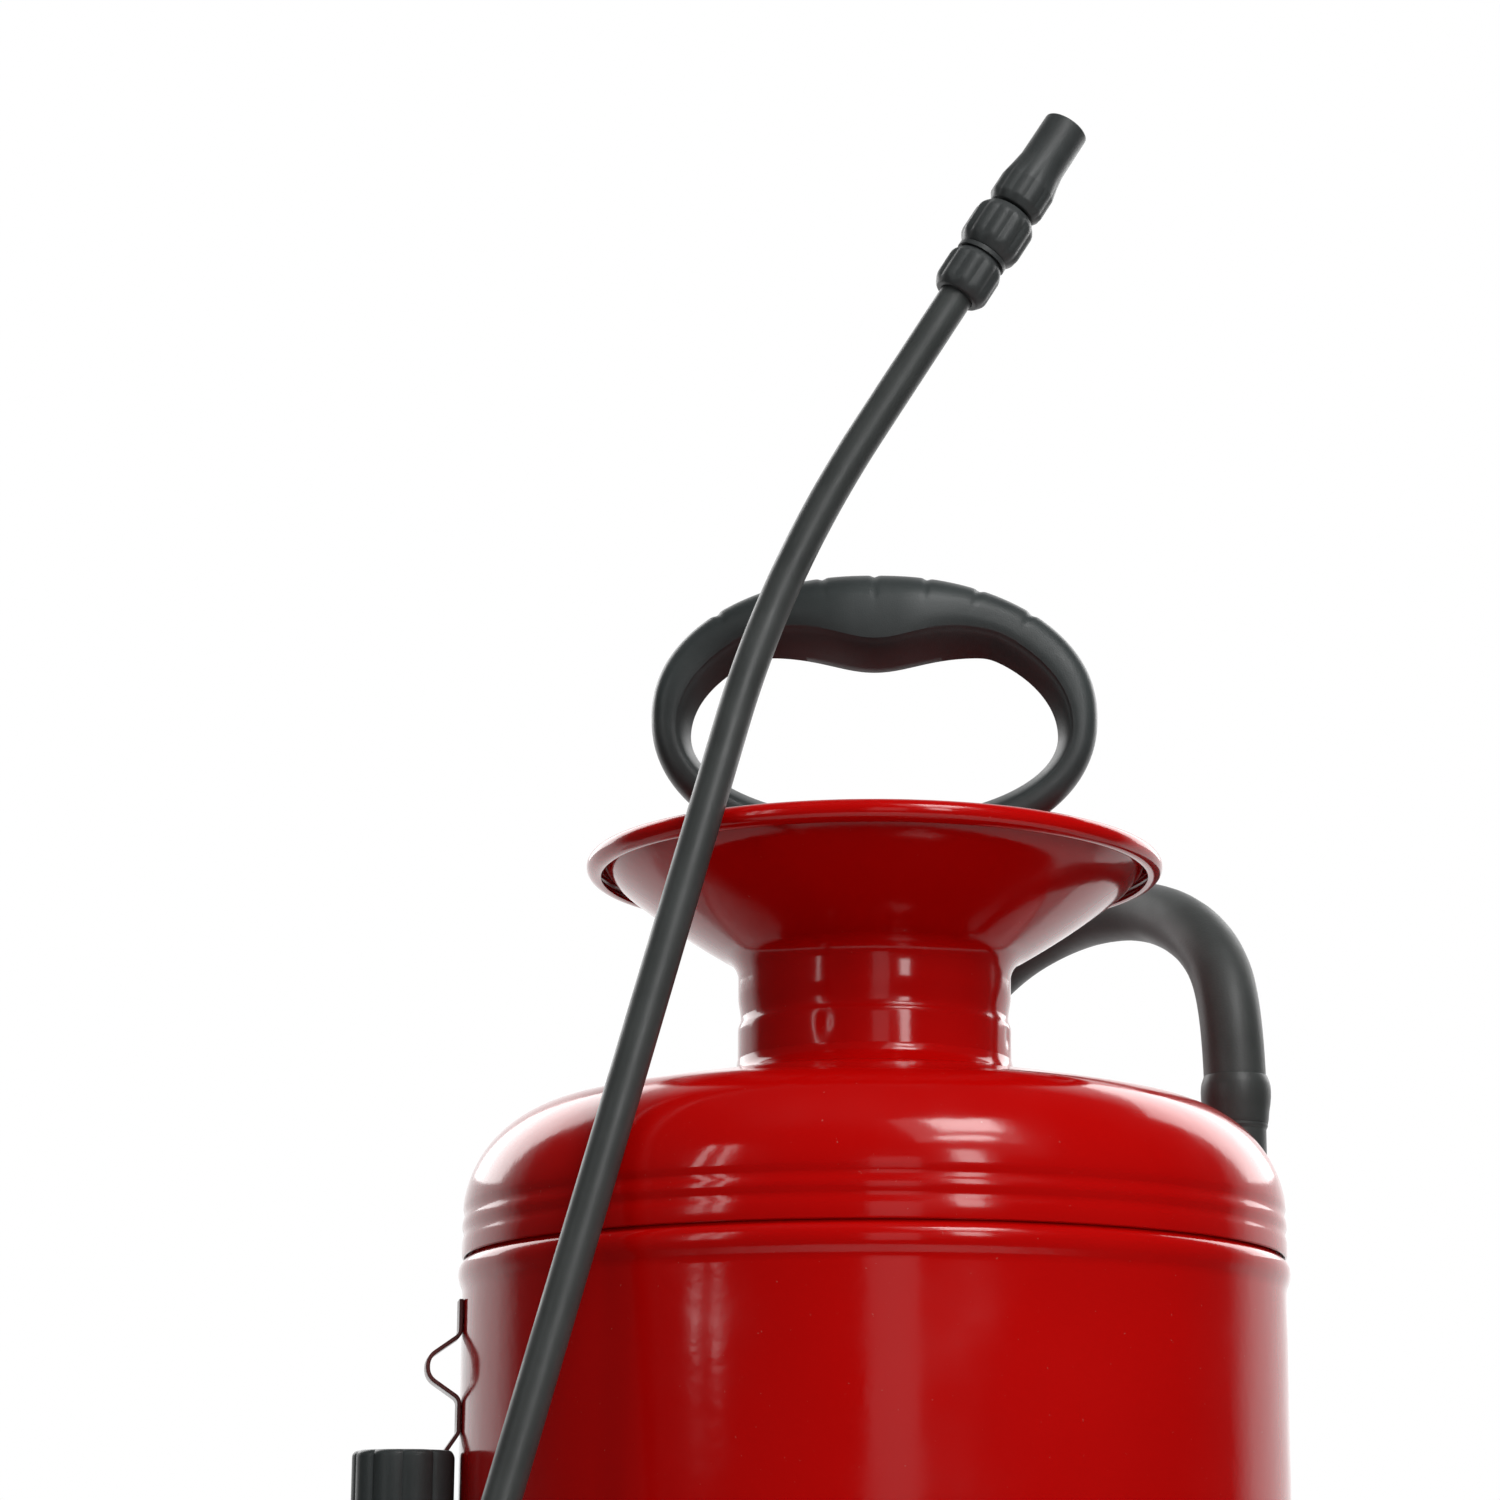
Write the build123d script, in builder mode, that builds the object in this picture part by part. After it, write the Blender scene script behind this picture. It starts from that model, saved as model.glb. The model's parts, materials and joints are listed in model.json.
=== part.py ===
from build123d import *
import math
import os

# A hand-pumped compression sprayer: a steel tank with a funnel top, a lift-out pump with a
# D-shaped handle, and a hose that ends in a lance with a lever valve and a cone nozzle.
# Millimetres, +Z up, the origin at the centre of the foot ring's underside.

# ---------------------------------------------------------------- driving dimensions

TANK_R = 101.6          # outside radius of the rolled shell, an 8 inch tank
SHEET = 1.0             # steel sheet thickness
WELD_GAP = 0.05         # room left between two sheets that are welded face to face
SEAM_Z = 400.0          # lower edge of the dome's skirt
BEAD_R = 102.7          # crest of the rolled bead under the seam
SKIRT_R = 102.0         # outside radius of the dome's skirt
KNUCKLE_R = 28.0        # radius of the dome's shoulder
KNUCKLE_Z = 410.4       # height of the shoulder's centre
CROWN_Z = 446.2         # height of the dome where the neck stands
NECK_R = 34.4           # outside radius of the neck
RIM_R = 70.3            # radius of the funnel's rolled rim, at the middle of the roll
RIM_Z = 499.8
RIM_ROLL_R = 2.7
RIDGE = 0.3             # depth of the faint groove pressed round the dome's skirt
COLLAR_R = 29.1         # bore of the threaded ring in the neck
COLLAR_TOP = 466.0

BARREL_R = 22.0         # outside radius of the pump barrel
BARREL_BORE = 20.5
BARREL_FOOT_Z = 190.0
HEAD_Z = COLLAR_TOP + 2.6   # underside of the pump head's flange, on its gasket
PISTON_Z = 210.0
ROD_R = 5.0
ROD_TOP = 503.0
RUNNING = 0.05          # radial clearance of a running fit

HANDLE_Z = 540.0        # middle of the D handle
HANDLE_W = 57.2         # half width of the D handle
HANDLE_H = 37.0         # half height of the D handle

BOSS_AT = (92.5, 18.0)  # where the outlet stands on the dome
STEM_R = 4.6            # stem of the outlet, inside the dome
HOSE_R = 8.0
HOSE_START_Z = 437.5

FOOT = Vector(-148.8, -173.2, 68.0)    # lower end of the lance
BEND = Vector(-23.8, -51.3, 564.1)     # corner of the lance's bend
TIP = Vector(48.6, -42.3, 683.3)       # mouth of the nozzle
WAND_R = 4.3
WAND_BORE = 2.8
WAND_BEND_R = 250.0
NOZZLE_LENGTH = 54.5
VALVE_S = 141.0         # height of the valve stem along the lance
PIVOT_X = 15.0          # trigger pivot, out from the lance's axis
PIVOT_S = 153.0
CATCH_X = 15.5          # catch pivot
CATCH_S = 27.0

HOLSTER_ANGLE = 190.0   # degrees about the tank's axis
STRIP = 1.0             # thickness of the holster's bent strip
STRIP_W = 9.0
CUP_TOP = 353.2
CUP_FOOT = 293.0
CUP_R = 13.0
CUP_CENTRE_R = 114.3

lance = Plane(FOOT, x_dir=(-0.7, -0.7, 0), z_dir=BEND - FOOT)
nozzle_axis = (TIP - BEND).normalized()
nozzle = Plane(TIP - nozzle_axis * NOZZLE_LENGTH, x_dir=(0, -1, 0), z_dir=nozzle_axis)
outlet = Plane((BOSS_AT[0], BOSS_AT[1], 0))
holster = Plane.XY.rotated((0, 0, HOLSTER_ANGLE))

os.makedirs("parts", exist_ok=True)


def side_of(frame):
    """The plane of a frame's x and z axes, for outlines drawn as (radius, height)."""
    return Plane(frame.origin, x_dir=frame.x_dir, z_dir=-frame.y_dir)


def turn(frame, outline, mode=Mode.ADD):
    """Revolve a closed outline of (radius, height) points about a frame's z axis."""
    with BuildSketch(side_of(frame)) as profile:
        with BuildLine():
            Polyline(*outline, close=True)
        make_face()
    revolve(profile.sketch, axis=Axis(frame.origin, frame.z_dir), mode=mode)


def tube(frame, bore, radius, low, high, mode=Mode.ADD):
    """A plain turned ring, or a disc where the bore is zero."""
    turn(frame, [(bore, low), (radius, low), (radius, high), (bore, high)], mode)


def ribs(frame, radius, low, high, count, width, depth):
    """Grip ribs: bars along a nut, standing out of its cylinder."""
    with BuildSketch(frame.offset(low)) as bars:
        with PolarLocations(radius, count):
            Rectangle(2 * depth, width)
    extrude(bars.sketch, amount=high - low)


def save(piece, name):
    """Label a finished piece and write it to its own file."""
    piece.label = name
    export_step(piece, f"parts/{name}.step")


# ---------------------------------------------------------------- tank

# Rolled shell, with a bead under the seam and a necked-in top that the dome's skirt covers
neck_in = SKIRT_R - RIDGE - SHEET - WELD_GAP
with BuildPart() as tank_shell:
    with BuildSketch(Plane.XZ):
        with BuildLine():
            Line((TANK_R, 1.6), (TANK_R, SEAM_Z - 7.5))
            Line((TANK_R, SEAM_Z - 7.5), (BEAD_R, SEAM_Z - 5.2))
            RadiusArc((BEAD_R, SEAM_Z - 5.2), (BEAD_R, SEAM_Z - 1.6), -2.6)
            Line((BEAD_R, SEAM_Z - 1.6), (neck_in, SEAM_Z))
            Line((neck_in, SEAM_Z), (neck_in, SEAM_Z + 13))
            offset(amount=SHEET, side=Side.LEFT)
        make_face()
    revolve(axis=Axis.Z)
save(tank_shell.part, "tank_shell")

# Domed head: skirt with a faint pressed groove, round shoulder and nearly flat crown
shoulder_mid = math.radians(42)
shoulder_top = math.radians(77.5)
knuckle = Vector(SKIRT_R - KNUCKLE_R, KNUCKLE_Z)
mid_point = knuckle + Vector(math.cos(shoulder_mid), math.sin(shoulder_mid)) * KNUCKLE_R
top_point = knuckle + Vector(math.cos(shoulder_top), math.sin(shoulder_top)) * KNUCKLE_R
crown_in = (NECK_R - 1.5, CROWN_Z + 0.2)
skirt_foot = (SKIRT_R, SEAM_Z + 0.2)


def dome_lines():
    """The dome's outside, from the foot of its skirt to the neck."""
    Polyline(
        skirt_foot,
        (SKIRT_R, SEAM_Z + 3.0),
        (SKIRT_R - RIDGE, SEAM_Z + 4.2),
        (SKIRT_R - RIDGE, SEAM_Z + 5.2),
        (SKIRT_R, SEAM_Z + 6.4),
        (SKIRT_R, KNUCKLE_Z),
    )
    ThreePointArc((SKIRT_R, KNUCKLE_Z), mid_point, top_point)
    ThreePointArc(top_point, (57.5, 442.4), crown_in)


with BuildPart() as tank_dome:
    with BuildSketch(Plane.XZ):
        with BuildLine():
            dome_lines()
            offset(amount=SHEET, side=Side.LEFT)
        make_face()
        with Locations((0, CROWN_Z)):
            Rectangle(2 * (NECK_R + WELD_GAP), 20, mode=Mode.SUBTRACT)
    revolve(axis=Axis.Z)
    tube(outlet, 0, STEM_R + WELD_GAP, SEAM_Z + 20, CROWN_Z + 5, mode=Mode.SUBTRACT)
save(tank_dome.part, "tank_dome")

# Funnel: neck with a rolled groove that locks the threaded ring, bowl and rolled rim
with BuildPart() as funnel:
    with BuildSketch(Plane.XZ):
        with BuildLine():
            Polyline(
                (NECK_R, 442.5),
                (NECK_R, 458.6),
                (NECK_R - 0.7, 460.4),
                (NECK_R - 0.7, 462.6),
                (NECK_R, 464.4),
                (NECK_R, 472.0),
            )
            ThreePointArc((NECK_R, 472.0), (35.6, 475.2), (38.6, 477.5))
            ThreePointArc((38.6, 477.5), (51.4, 485.6), (62.4, 493.6))
            Line((62.4, 493.6), (RIM_R - 1.6, RIM_Z - 1.5))
            offset(amount=SHEET, side=Side.LEFT)
        make_face()
    revolve(axis=Axis.Z)
    with BuildSketch(Plane.XZ):
        with Locations((RIM_R, RIM_Z)):
            Circle(RIM_ROLL_R)
            Circle(RIM_ROLL_R - SHEET, mode=Mode.SUBTRACT)
    revolve(axis=Axis.Z)
save(funnel.part, "funnel")

# Threaded ring that the pump screws into
with BuildPart() as neck_collar:
    ring_out = NECK_R - SHEET - 0.75
    tube(Plane.XY, COLLAR_R, ring_out, 450.0, COLLAR_TOP)
    for groove_z in (452.5, 456.5, 460.5):
        turn(
            Plane.XY,
            [(COLLAR_R - 1, groove_z), (COLLAR_R + 1.3, groove_z + 0.6),
             (COLLAR_R + 1.3, groove_z + 1.4), (COLLAR_R - 1, groove_z + 2.0)],
            mode=Mode.SUBTRACT,
        )
save(neck_collar.part, "neck_collar")

# Dished bottom, pressed up into the shell
bottom_r = TANK_R - SHEET - WELD_GAP
crown_edge = Vector(bottom_r - 10.5, 23.0)
crown_rise = 13.5
crown_r = (crown_edge.X**2 + crown_rise**2) / (2 * crown_rise)
crown_mid_z = crown_edge.Y + crown_rise - crown_r + math.sqrt(crown_r**2 - 45.0**2)
with BuildPart() as bottom_head:
    with BuildSketch(Plane.XZ):
        with BuildLine():
            Line((bottom_r, 6.0), (bottom_r, 14.0))
            ThreePointArc((bottom_r, 14.0), (bottom_r - 3.2, 20.6), crown_edge)
            ThreePointArc(crown_edge, (45.0, crown_mid_z), (0, crown_edge.Y + crown_rise))
            offset(amount=SHEET, side=Side.LEFT)
        make_face()
    revolve(axis=Axis.Z)
save(bottom_head.part, "bottom_head")

# Rolled foot ring that the tank stands on
foot_in = TANK_R + WELD_GAP
foot_out = foot_in + 1.2
with BuildPart() as foot_ring:
    turn(
        Plane.XY,
        [(foot_in - 9, 0), (foot_out - 1, 0), (foot_out, 1), (foot_out, 20), (foot_in, 20),
         (foot_in, 1.5), (foot_in - 9, 1.5)],
    )
save(foot_ring.part, "foot_ring")

# The space that the dome encloses, to trim what is welded onto it
with BuildPart() as dome_core:
    with BuildSketch(Plane.XZ):
        with BuildLine():
            dome_lines()
            Polyline(crown_in, (0, CROWN_Z + 0.2), (0, skirt_foot[1]), skirt_foot)
        make_face()
    revolve(axis=Axis.Z)

# Outlet stub, trimmed to the dome's shoulder, with a stem that holds the dip tube
with BuildPart() as outlet_boss:
    turn(
        outlet,
        [(0, 412), (7.5, 412), (7.5, HOSE_START_Z - 0.8), (8.0, HOSE_START_Z - 0.8),
         (8.0, HOSE_START_Z), (0, HOSE_START_Z)],
    )
    add(dome_core.part, mode=Mode.SUBTRACT)
    turn(outlet, [(0, 414), (STEM_R, 414), (STEM_R, HOSE_START_Z), (0, HOSE_START_Z)])
    turn(
        outlet,
        [(0, 413), (4.02, 413), (4.02, 424), (3.0, 424), (3.0, 440), (0, 440)],
        mode=Mode.SUBTRACT,
    )
save(outlet_boss.part, "outlet_boss")

with BuildPart() as dip_tube:
    tube(outlet, 2.8, 4.0, 52.0, 423.95)
save(dip_tube.part, "dip_tube")

# Slotted strainer on the foot of the dip tube
with BuildPart() as dip_tube_strainer:
    tube(outlet, 4.05, 5.6, 40.0, 60.0)
    turn(outlet, [(0, 38.5), (5.6, 38.5), (5.6, 40), (0, 40)])
    with BuildSketch(outlet.offset(42)):
        with PolarLocations(5, 6):
            Rectangle(4, 1.2)
    extrude(amount=7, mode=Mode.SUBTRACT)
save(dip_tube_strainer.part, "dip_tube_strainer")

# Crimped ferrule round the hose
with BuildPart() as hose_ferrule:
    turn(
        outlet,
        [(HOSE_R + 0.05, 441), (HOSE_R + 0.7, 441), (HOSE_R + 0.95, 442), (HOSE_R + 0.95, 448),
         (HOSE_R + 0.7, 449), (HOSE_R + 0.05, 449)],
    )
save(hose_ferrule.part, "hose_ferrule")

# ---------------------------------------------------------------- nozzle holster

# Bent strip: two welded tabs with a rounded bow between them, and a tongue for the cup
tab_r = TANK_R + 0.6
bow_r = tab_r + 7.6
tongue_r = 105.9
with BuildPart() as holster_bracket:
    with BuildSketch(side_of(holster)):
        with BuildLine():
            FilletPolyline(
                (tab_r, 389.5), (tab_r, 380.9), (bow_r, 375.4), (bow_r, 371.0), (tab_r, 365.7),
                (tab_r, 357.5), (tongue_r, 352.0), (tongue_r, 298.0),
                radius=(2.0, 3.8, 3.8, 2.0, 1.6, 1.6),
            )
        trace(line_width=STRIP)
    extrude(amount=STRIP_W / 2, both=True)
    with Locations(Plane((0, 0, 325), z_dir=holster.x_dir)):
        with Locations((0, 0, tongue_r)):
            Cylinder(1.7, 4, mode=Mode.SUBTRACT)
save(holster_bracket.part, "holster_bracket")

# Fluted cup that the nozzle drops into
cup_frame = Plane(holster.x_dir * CUP_CENTRE_R, x_dir=holster.x_dir)
cup_bore = Plane(holster.x_dir * (CUP_CENTRE_R + 1.7), x_dir=holster.x_dir)
with BuildPart() as holster_cup:
    with BuildSketch(cup_frame.offset(CUP_FOOT)):
        Circle(CUP_R - 0.9)
        with PolarLocations(CUP_R - 2.6, 10):
            Circle(2.6)
    extrude(amount=CUP_TOP - CUP_FOOT)
    turn(cup_bore, [(0, 296), (8, 296), (8, CUP_TOP - 1), (8.6, 360), (0, 360)], mode=Mode.SUBTRACT)
    with BuildSketch(holster.offset(CUP_FOOT - 1)):
        with Locations((tongue_r - 3.2, 0)):
            Rectangle(8.0, STRIP_W + 0.8)
    extrude(amount=70, mode=Mode.SUBTRACT)
    with Locations(Plane((0, 0, 325), z_dir=holster.x_dir)):
        with Locations((0, 0, 108)):
            Cylinder(1.7, 4, mode=Mode.SUBTRACT)
    with Locations(cup_bore.offset(CUP_FOOT)):
        Cylinder(3, 10, mode=Mode.SUBTRACT)
save(holster_cup.part, "holster_cup")

# Rivet that joins the cup to the strip
with BuildPart() as cup_rivet:
    rivet_axis = Plane((0, 0, 325), z_dir=holster.x_dir)
    turn(
        rivet_axis,
        [(0, tongue_r - 2.0), (3.4, tongue_r - 1.6), (3.4, tongue_r - 0.55),
         (1.6, tongue_r - 0.55), (1.6, 108.7), (3.0, 108.7), (2.4, 109.8), (0, 110.2)],
    )
save(cup_rivet.part, "cup_rivet")

# ---------------------------------------------------------------- pump

with BuildPart() as pump_gasket:
    tube(Plane.XY, COLLAR_R + 0.2, 32.6, COLLAR_TOP + 0.05, COLLAR_TOP + 2.5)
save(pump_gasket.part, "pump_gasket")

# Threaded plug with a gripped flange, holding the barrel and guiding the rod
with BuildPart() as pump_head:
    turn(
        Plane.XY,
        [(BARREL_R + 0.02, 451), (COLLAR_R - RUNNING, 451), (COLLAR_R - RUNNING, HEAD_Z),
         (32.4, HEAD_Z), (32.4, HEAD_Z + 5), (19, HEAD_Z + 6.5), (17, HEAD_Z + 14),
         (9.0, HEAD_Z + 14), (9.0, HEAD_Z + 8), (ROD_R + 0.5, HEAD_Z + 8),
         (ROD_R + 0.5, HEAD_Z + 3), (BARREL_R + 0.02, HEAD_Z + 3)],
    )
    with BuildSketch(Plane.XY.offset(HEAD_Z + 5)):
        with PolarLocations(21, 4, start_angle=45):
            Rectangle(9, 4)
    extrude(amount=7)
save(pump_head.part, "pump_head")

with BuildPart() as rod_bushing:
    tube(Plane.XY, ROD_R + RUNNING, 8.95, HEAD_Z + 8.05, HEAD_Z + 14.6)
save(rod_bushing.part, "rod_bushing")

with BuildPart() as pump_barrel:
    tube(Plane.XY, BARREL_BORE, BARREL_R, BARREL_FOOT_Z, HEAD_Z + 2.95)
save(pump_barrel.part, "pump_barrel")

# Foot of the barrel, with air holes under the flap valve
with BuildPart() as barrel_foot:
    turn(
        Plane.XY,
        [(1.6, 186), (23.4, 186), (23.4, 200), (BARREL_R + 0.02, 200), (BARREL_R + 0.02, 189.9),
         (1.6, 189.9)],
    )
    with PolarLocations(9, 6):
        Hole(1.5, depth=400)
save(barrel_foot.part, "barrel_foot")

with BuildPart() as check_valve:
    turn(
        Plane.XY,
        [(0, 183.6), (6, 183.9), (13, 185.2), (13, 185.95), (1.5, 185.95), (1.5, 190.2),
         (2.6, 190.2), (1.2, 192.5), (0, 192.5)],
    )
save(check_valve.part, "check_valve")

# Piston: cup seal on a washer, free to turn on the rod
with BuildPart() as piston_cup:
    turn(
        Plane.XY,
        [(ROD_R + RUNNING, PISTON_Z), (BARREL_BORE - 1.6, PISTON_Z),
         (BARREL_BORE - 0.08, PISTON_Z - 7), (BARREL_BORE - 0.08, PISTON_Z + 1),
         (BARREL_BORE - 1.0, PISTON_Z + 2), (ROD_R + RUNNING, PISTON_Z + 2)],
    )
save(piston_cup.part, "piston_cup")

with BuildPart() as piston_washer:
    tube(Plane.XY, ROD_R + RUNNING, 16.5, PISTON_Z + 2.0, PISTON_Z + 4.0)
save(piston_washer.part, "piston_washer")

with BuildPart() as piston_nut:
    with BuildSketch(Plane.XY.offset(PISTON_Z - 6.1)):
        RegularPolygon(8.0, 6)
        Circle(ROD_R - 0.4, mode=Mode.SUBTRACT)
    extrude(amount=6)
save(piston_nut.part, "piston_nut")

with BuildPart() as plunger_rod:
    turn(
        Plane.XY,
        [(0, PISTON_Z - 8), (ROD_R - 0.4, PISTON_Z - 8), (ROD_R - 0.4, PISTON_Z - 0.1),
         (ROD_R, PISTON_Z - 0.1), (ROD_R, ROD_TOP), (0, ROD_TOP)],
    )
    turn(Plane.XY, [(ROD_R - 0.5, PISTON_Z + 4.1), (7.5, PISTON_Z + 4.1), (7.5, PISTON_Z + 5.4),
                    (ROD_R - 0.5, PISTON_Z + 5.4)])
    with Locations(Plane((0, 0, 496), z_dir=(0, 1, 0))):
        Cylinder(1.5, 40, mode=Mode.SUBTRACT)
save(plunger_rod.part, "plunger_rod")

# Rubber buffer that stops the upstroke softly
with BuildPart() as rod_buffer:
    tube(Plane.XY, ROD_R + 0.02, 9.5, PISTON_Z + 5.5, PISTON_Z + 12)
save(rod_buffer.part, "rod_buffer")

# D handle: an oval ring, a palm grip across its top and a hub on the rod
GRIP_STATIONS = (
    # along, depth, height, middle height
    (-43, 11, 11.5, 558.6),
    (-26, 21, 19.5, 563.0),
    (0, 28, 25.0, 564.0),
    (26, 21, 19.5, 563.0),
    (43, 11, 11.5, 558.6),
)
with BuildPart() as pump_handle:
    with BuildSketch(Plane.XZ):
        with Locations((0, HANDLE_Z)):
            Ellipse(HANDLE_W, HANDLE_H)
        with Locations((0, HANDLE_Z - 3)):
            Ellipse(HANDLE_W - 10.4, HANDLE_H - 13, mode=Mode.SUBTRACT)
    extrude(amount=5.5, both=True)
    fillet(pump_handle.edges(), radius=4.2)
    for along, depth, height, middle in GRIP_STATIONS:
        with BuildSketch(Plane((along, 0, middle), x_dir=(0, 1, 0), z_dir=(1, 0, 0))):
            Ellipse(depth / 2, height / 2)
    loft()
    turn(Plane.XY, [(0, 484), (11.5, 484), (12.5, 486), (12.5, 500), (9, 508), (0, 508)])
    tube(Plane.XY, 0, ROD_R + 0.02, 480, ROD_TOP + 0.05, mode=Mode.SUBTRACT)
    with Locations(Plane((0, 0, 496), z_dir=(0, 1, 0))):
        Cylinder(1.5, 40, mode=Mode.SUBTRACT)
save(pump_handle.part, "pump_handle")

with BuildPart() as handle_pin:
    with Locations(Plane((0, 0, 496), z_dir=(0, 1, 0))):
        Cylinder(1.48, 24.6)
save(handle_pin.part, "handle_pin")

# ---------------------------------------------------------------- lance valve

def across(x, s):
    """The plane whose z axis is a cross pin of the valve, at x out and s along the lance."""
    return Plane(
        lance.origin + lance.x_dir * x + lance.z_dir * s, x_dir=lance.x_dir, z_dir=lance.y_dir
    )


def outward(s):
    """The plane whose z axis points out of the valve's front, at s along the lance."""
    return Plane(lance.origin + lance.z_dir * s, x_dir=lance.y_dir, z_dir=lance.x_dir)


def lugs_at(x, s, inner, outer, half_height):
    """Two ears that hold a cross pin."""
    with BuildSketch(lance.offset(s - half_height)) as ears:
        for side in (-1, 1):
            with Locations(((x + 9) / 2 + 1, side * (inner + outer) / 2)):
                Rectangle(x - 5, outer - inner)
    extrude(ears.sketch, amount=2 * half_height)


with BuildPart() as valve_body:
    with BuildSketch(lance.offset(20)):
        RectangleRounded(22.4, 22, 7)
    extrude(amount=139)
    tube(lance, 2.5, 8.5, 5, 22)
    tube(lance, 2.5, 9.0, 157, 171)
    lugs_at(PIVOT_X, PIVOT_S, 6.3, 9.0, 5.5)
    lugs_at(CATCH_X, CATCH_S, 5.3, 8.0, 5.0)
    turn(lance, [(0, 0), (6.2, 0), (6.2, 84), (2.5, 88), (0, 88)], mode=Mode.SUBTRACT)
    tube(lance, 0, 2.5, 80, 172, mode=Mode.SUBTRACT)
    tube(lance, 0, 6.6, 166, 172, mode=Mode.SUBTRACT)
    tube(outward(VALVE_S), 0, 5.5, -9.0, 12, mode=Mode.SUBTRACT)
    with Locations(across(PIVOT_X, PIVOT_S)):
        Cylinder(1.6, 30, mode=Mode.SUBTRACT)
    with Locations(across(CATCH_X, CATCH_S)):
        Cylinder(1.3, 30, mode=Mode.SUBTRACT)
save(valve_body.part, "valve_body")

with BuildPart() as stem_bushing:
    tube(outward(VALVE_S), 2.25, 5.45, 4.0, 11.1)
save(stem_bushing.part, "stem_bushing")

with BuildPart() as valve_seat:
    tube(outward(VALVE_S), 2.9, 5.45, -1.6, 0.4)
save(valve_seat.part, "valve_seat")

with BuildPart() as valve_stem:
    turn(
        outward(VALVE_S),
        [(0, -4.0), (4.4, -4.0), (4.4, -2.4), (2.2, -1.7), (2.2, 13.8), (1.4, 14.5), (0, 14.5)],
    )
save(valve_stem.part, "valve_stem")

spring_frame = outward(VALVE_S).offset(-8.6)
with BuildPart() as valve_spring:
    with BuildLine() as coil:
        Helix(
            pitch=1.3,
            height=4.1,
            radius=3.3,
            center=spring_frame.origin,
            direction=spring_frame.z_dir,
        )
    with BuildSketch(Plane(coil.line @ 0, z_dir=coil.line % 0)):
        Circle(0.35)
    sweep(path=coil.line, is_frenet=True)
save(valve_spring.part, "valve_spring")

with BuildPart() as trigger:
    with BuildSketch(across(0, 0)):
        with BuildLine():
            # drawn in (out, along) coordinates: the plane's y axis points down the lance
            Polyline(
                (PIVOT_X - 2.6, -156.5), (PIVOT_X + 0.3, -147.5), (PIVOT_X + 0.3, -136), (33, -46),
                (36, -42), (41, -43), (39.6, -47), (21, -136), (20.5, -152), (18, -157.2),
                close=True,
            )
        make_face()
    extrude(amount=6.0, both=True)
    fillet(trigger.edges().filter_by(Axis((0, 0, 0), lance.y_dir)), radius=0.9)
    with Locations(across(PIVOT_X, PIVOT_S)):
        Cylinder(1.55, 30, mode=Mode.SUBTRACT)
save(trigger.part, "trigger")

with BuildPart() as trigger_pin:
    with Locations(across(PIVOT_X, PIVOT_S)):
        Cylinder(1.5, 18.4)
save(trigger_pin.part, "trigger_pin")

# Flip-out catch that holds the squeezed trigger
with BuildPart() as trigger_catch:
    with BuildSketch(across(0, 0)):
        with BuildLine():
            Polyline(
                (CATCH_X - 2.2, -30.2), (CATCH_X + 2.2, -30.2), (CATCH_X + 2.4, -7),
                (CATCH_X + 6, -6), (CATCH_X + 6, -3.5), (CATCH_X - 1.4, -3.5),
                close=True,
            )
        make_face()
    extrude(amount=5.0, both=True)
    with Locations(across(CATCH_X, CATCH_S)):
        Cylinder(1.25, 30, mode=Mode.SUBTRACT)
save(trigger_catch.part, "trigger_catch")

with BuildPart() as catch_pin:
    with Locations(across(CATCH_X, CATCH_S)):
        Cylinder(1.2, 16.4)
save(catch_pin.part, "catch_pin")

# Long strainer inside the grip
with BuildPart() as grip_strainer:
    tube(lance, 3.6, 4.6, 16, 76)
    turn(lance, [(0, 76), (4.6, 76), (4.6, 77.5), (0, 77.5)])
    turn(lance, [(3.6, 15), (6.1, 15), (6.1, 17), (3.6, 17)])
    with BuildSketch(lance.offset(22)):
        with PolarLocations(4, 4):
            Rectangle(3, 2.2)
    extrude(amount=48, mode=Mode.SUBTRACT)
save(grip_strainer.part, "grip_strainer")

# Hose tail inside the lower spigot, and the ribbed nut that clamps it
with BuildPart() as hose_tail:
    turn(lance, [(2.4, 0.05), (HOSE_R, 0.05), (HOSE_R, 2), (6.1, 2), (6.1, 14.8), (2.4, 14.8)])
save(hose_tail.part, "hose_tail")

with BuildPart() as hose_nut:
    turn(lance, [(8.6, 3), (10.2, 3), (10.8, 4), (10.8, 19.4), (8.6, 19.4)])
    ribs(lance, 10.8, 5, 19, 12, 2.8, 0.5)
save(hose_nut.part, "hose_nut")

with BuildPart() as wand_nut:
    turn(
        lance,
        [(9.1, 159.6), (11.2, 159.6), (11.2, 176), (8.5, 181), (WAND_R + 0.05, 181),
         (WAND_R + 0.05, 173.5), (9.1, 173.5)],
    )
    ribs(lance, 11.2, 161, 175, 12, 2.8, 0.5)
save(wand_nut.part, "wand_nut")

with BuildPart() as wand_seal:
    tube(lance, WAND_R + 0.02, 6.5, 169.5, 173.2)
save(wand_seal.part, "wand_seal")

# Bent wand
with BuildPart() as wand_tube:
    with BuildLine() as wand_path:
        FilletPolyline(
            FOOT + lance.z_dir * 166.5,
            BEND,
            nozzle.origin + nozzle_axis * 8,
            radius=WAND_BEND_R,
        )
    with BuildSketch(lance.offset(166.5)):
        Circle(WAND_R)
        Circle(WAND_BORE, mode=Mode.SUBTRACT)
    sweep(path=wand_path.line)
save(wand_tube.part, "wand_tube")

# ---------------------------------------------------------------- nozzle

with BuildPart() as wand_end_nut:
    turn(
        nozzle,
        [(WAND_R + 0.05, 0), (6.3, 0), (6.75, 0.8), (6.75, 11.0), (6.4, 11.7), (5.7, 11.7), (5.7, 3),
         (WAND_R + 0.05, 3)],
    )
    ribs(nozzle, 6.7, 1.2, 10.8, 10, 2.0, 0.4)
save(wand_end_nut.part, "wand_end_nut")

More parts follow.
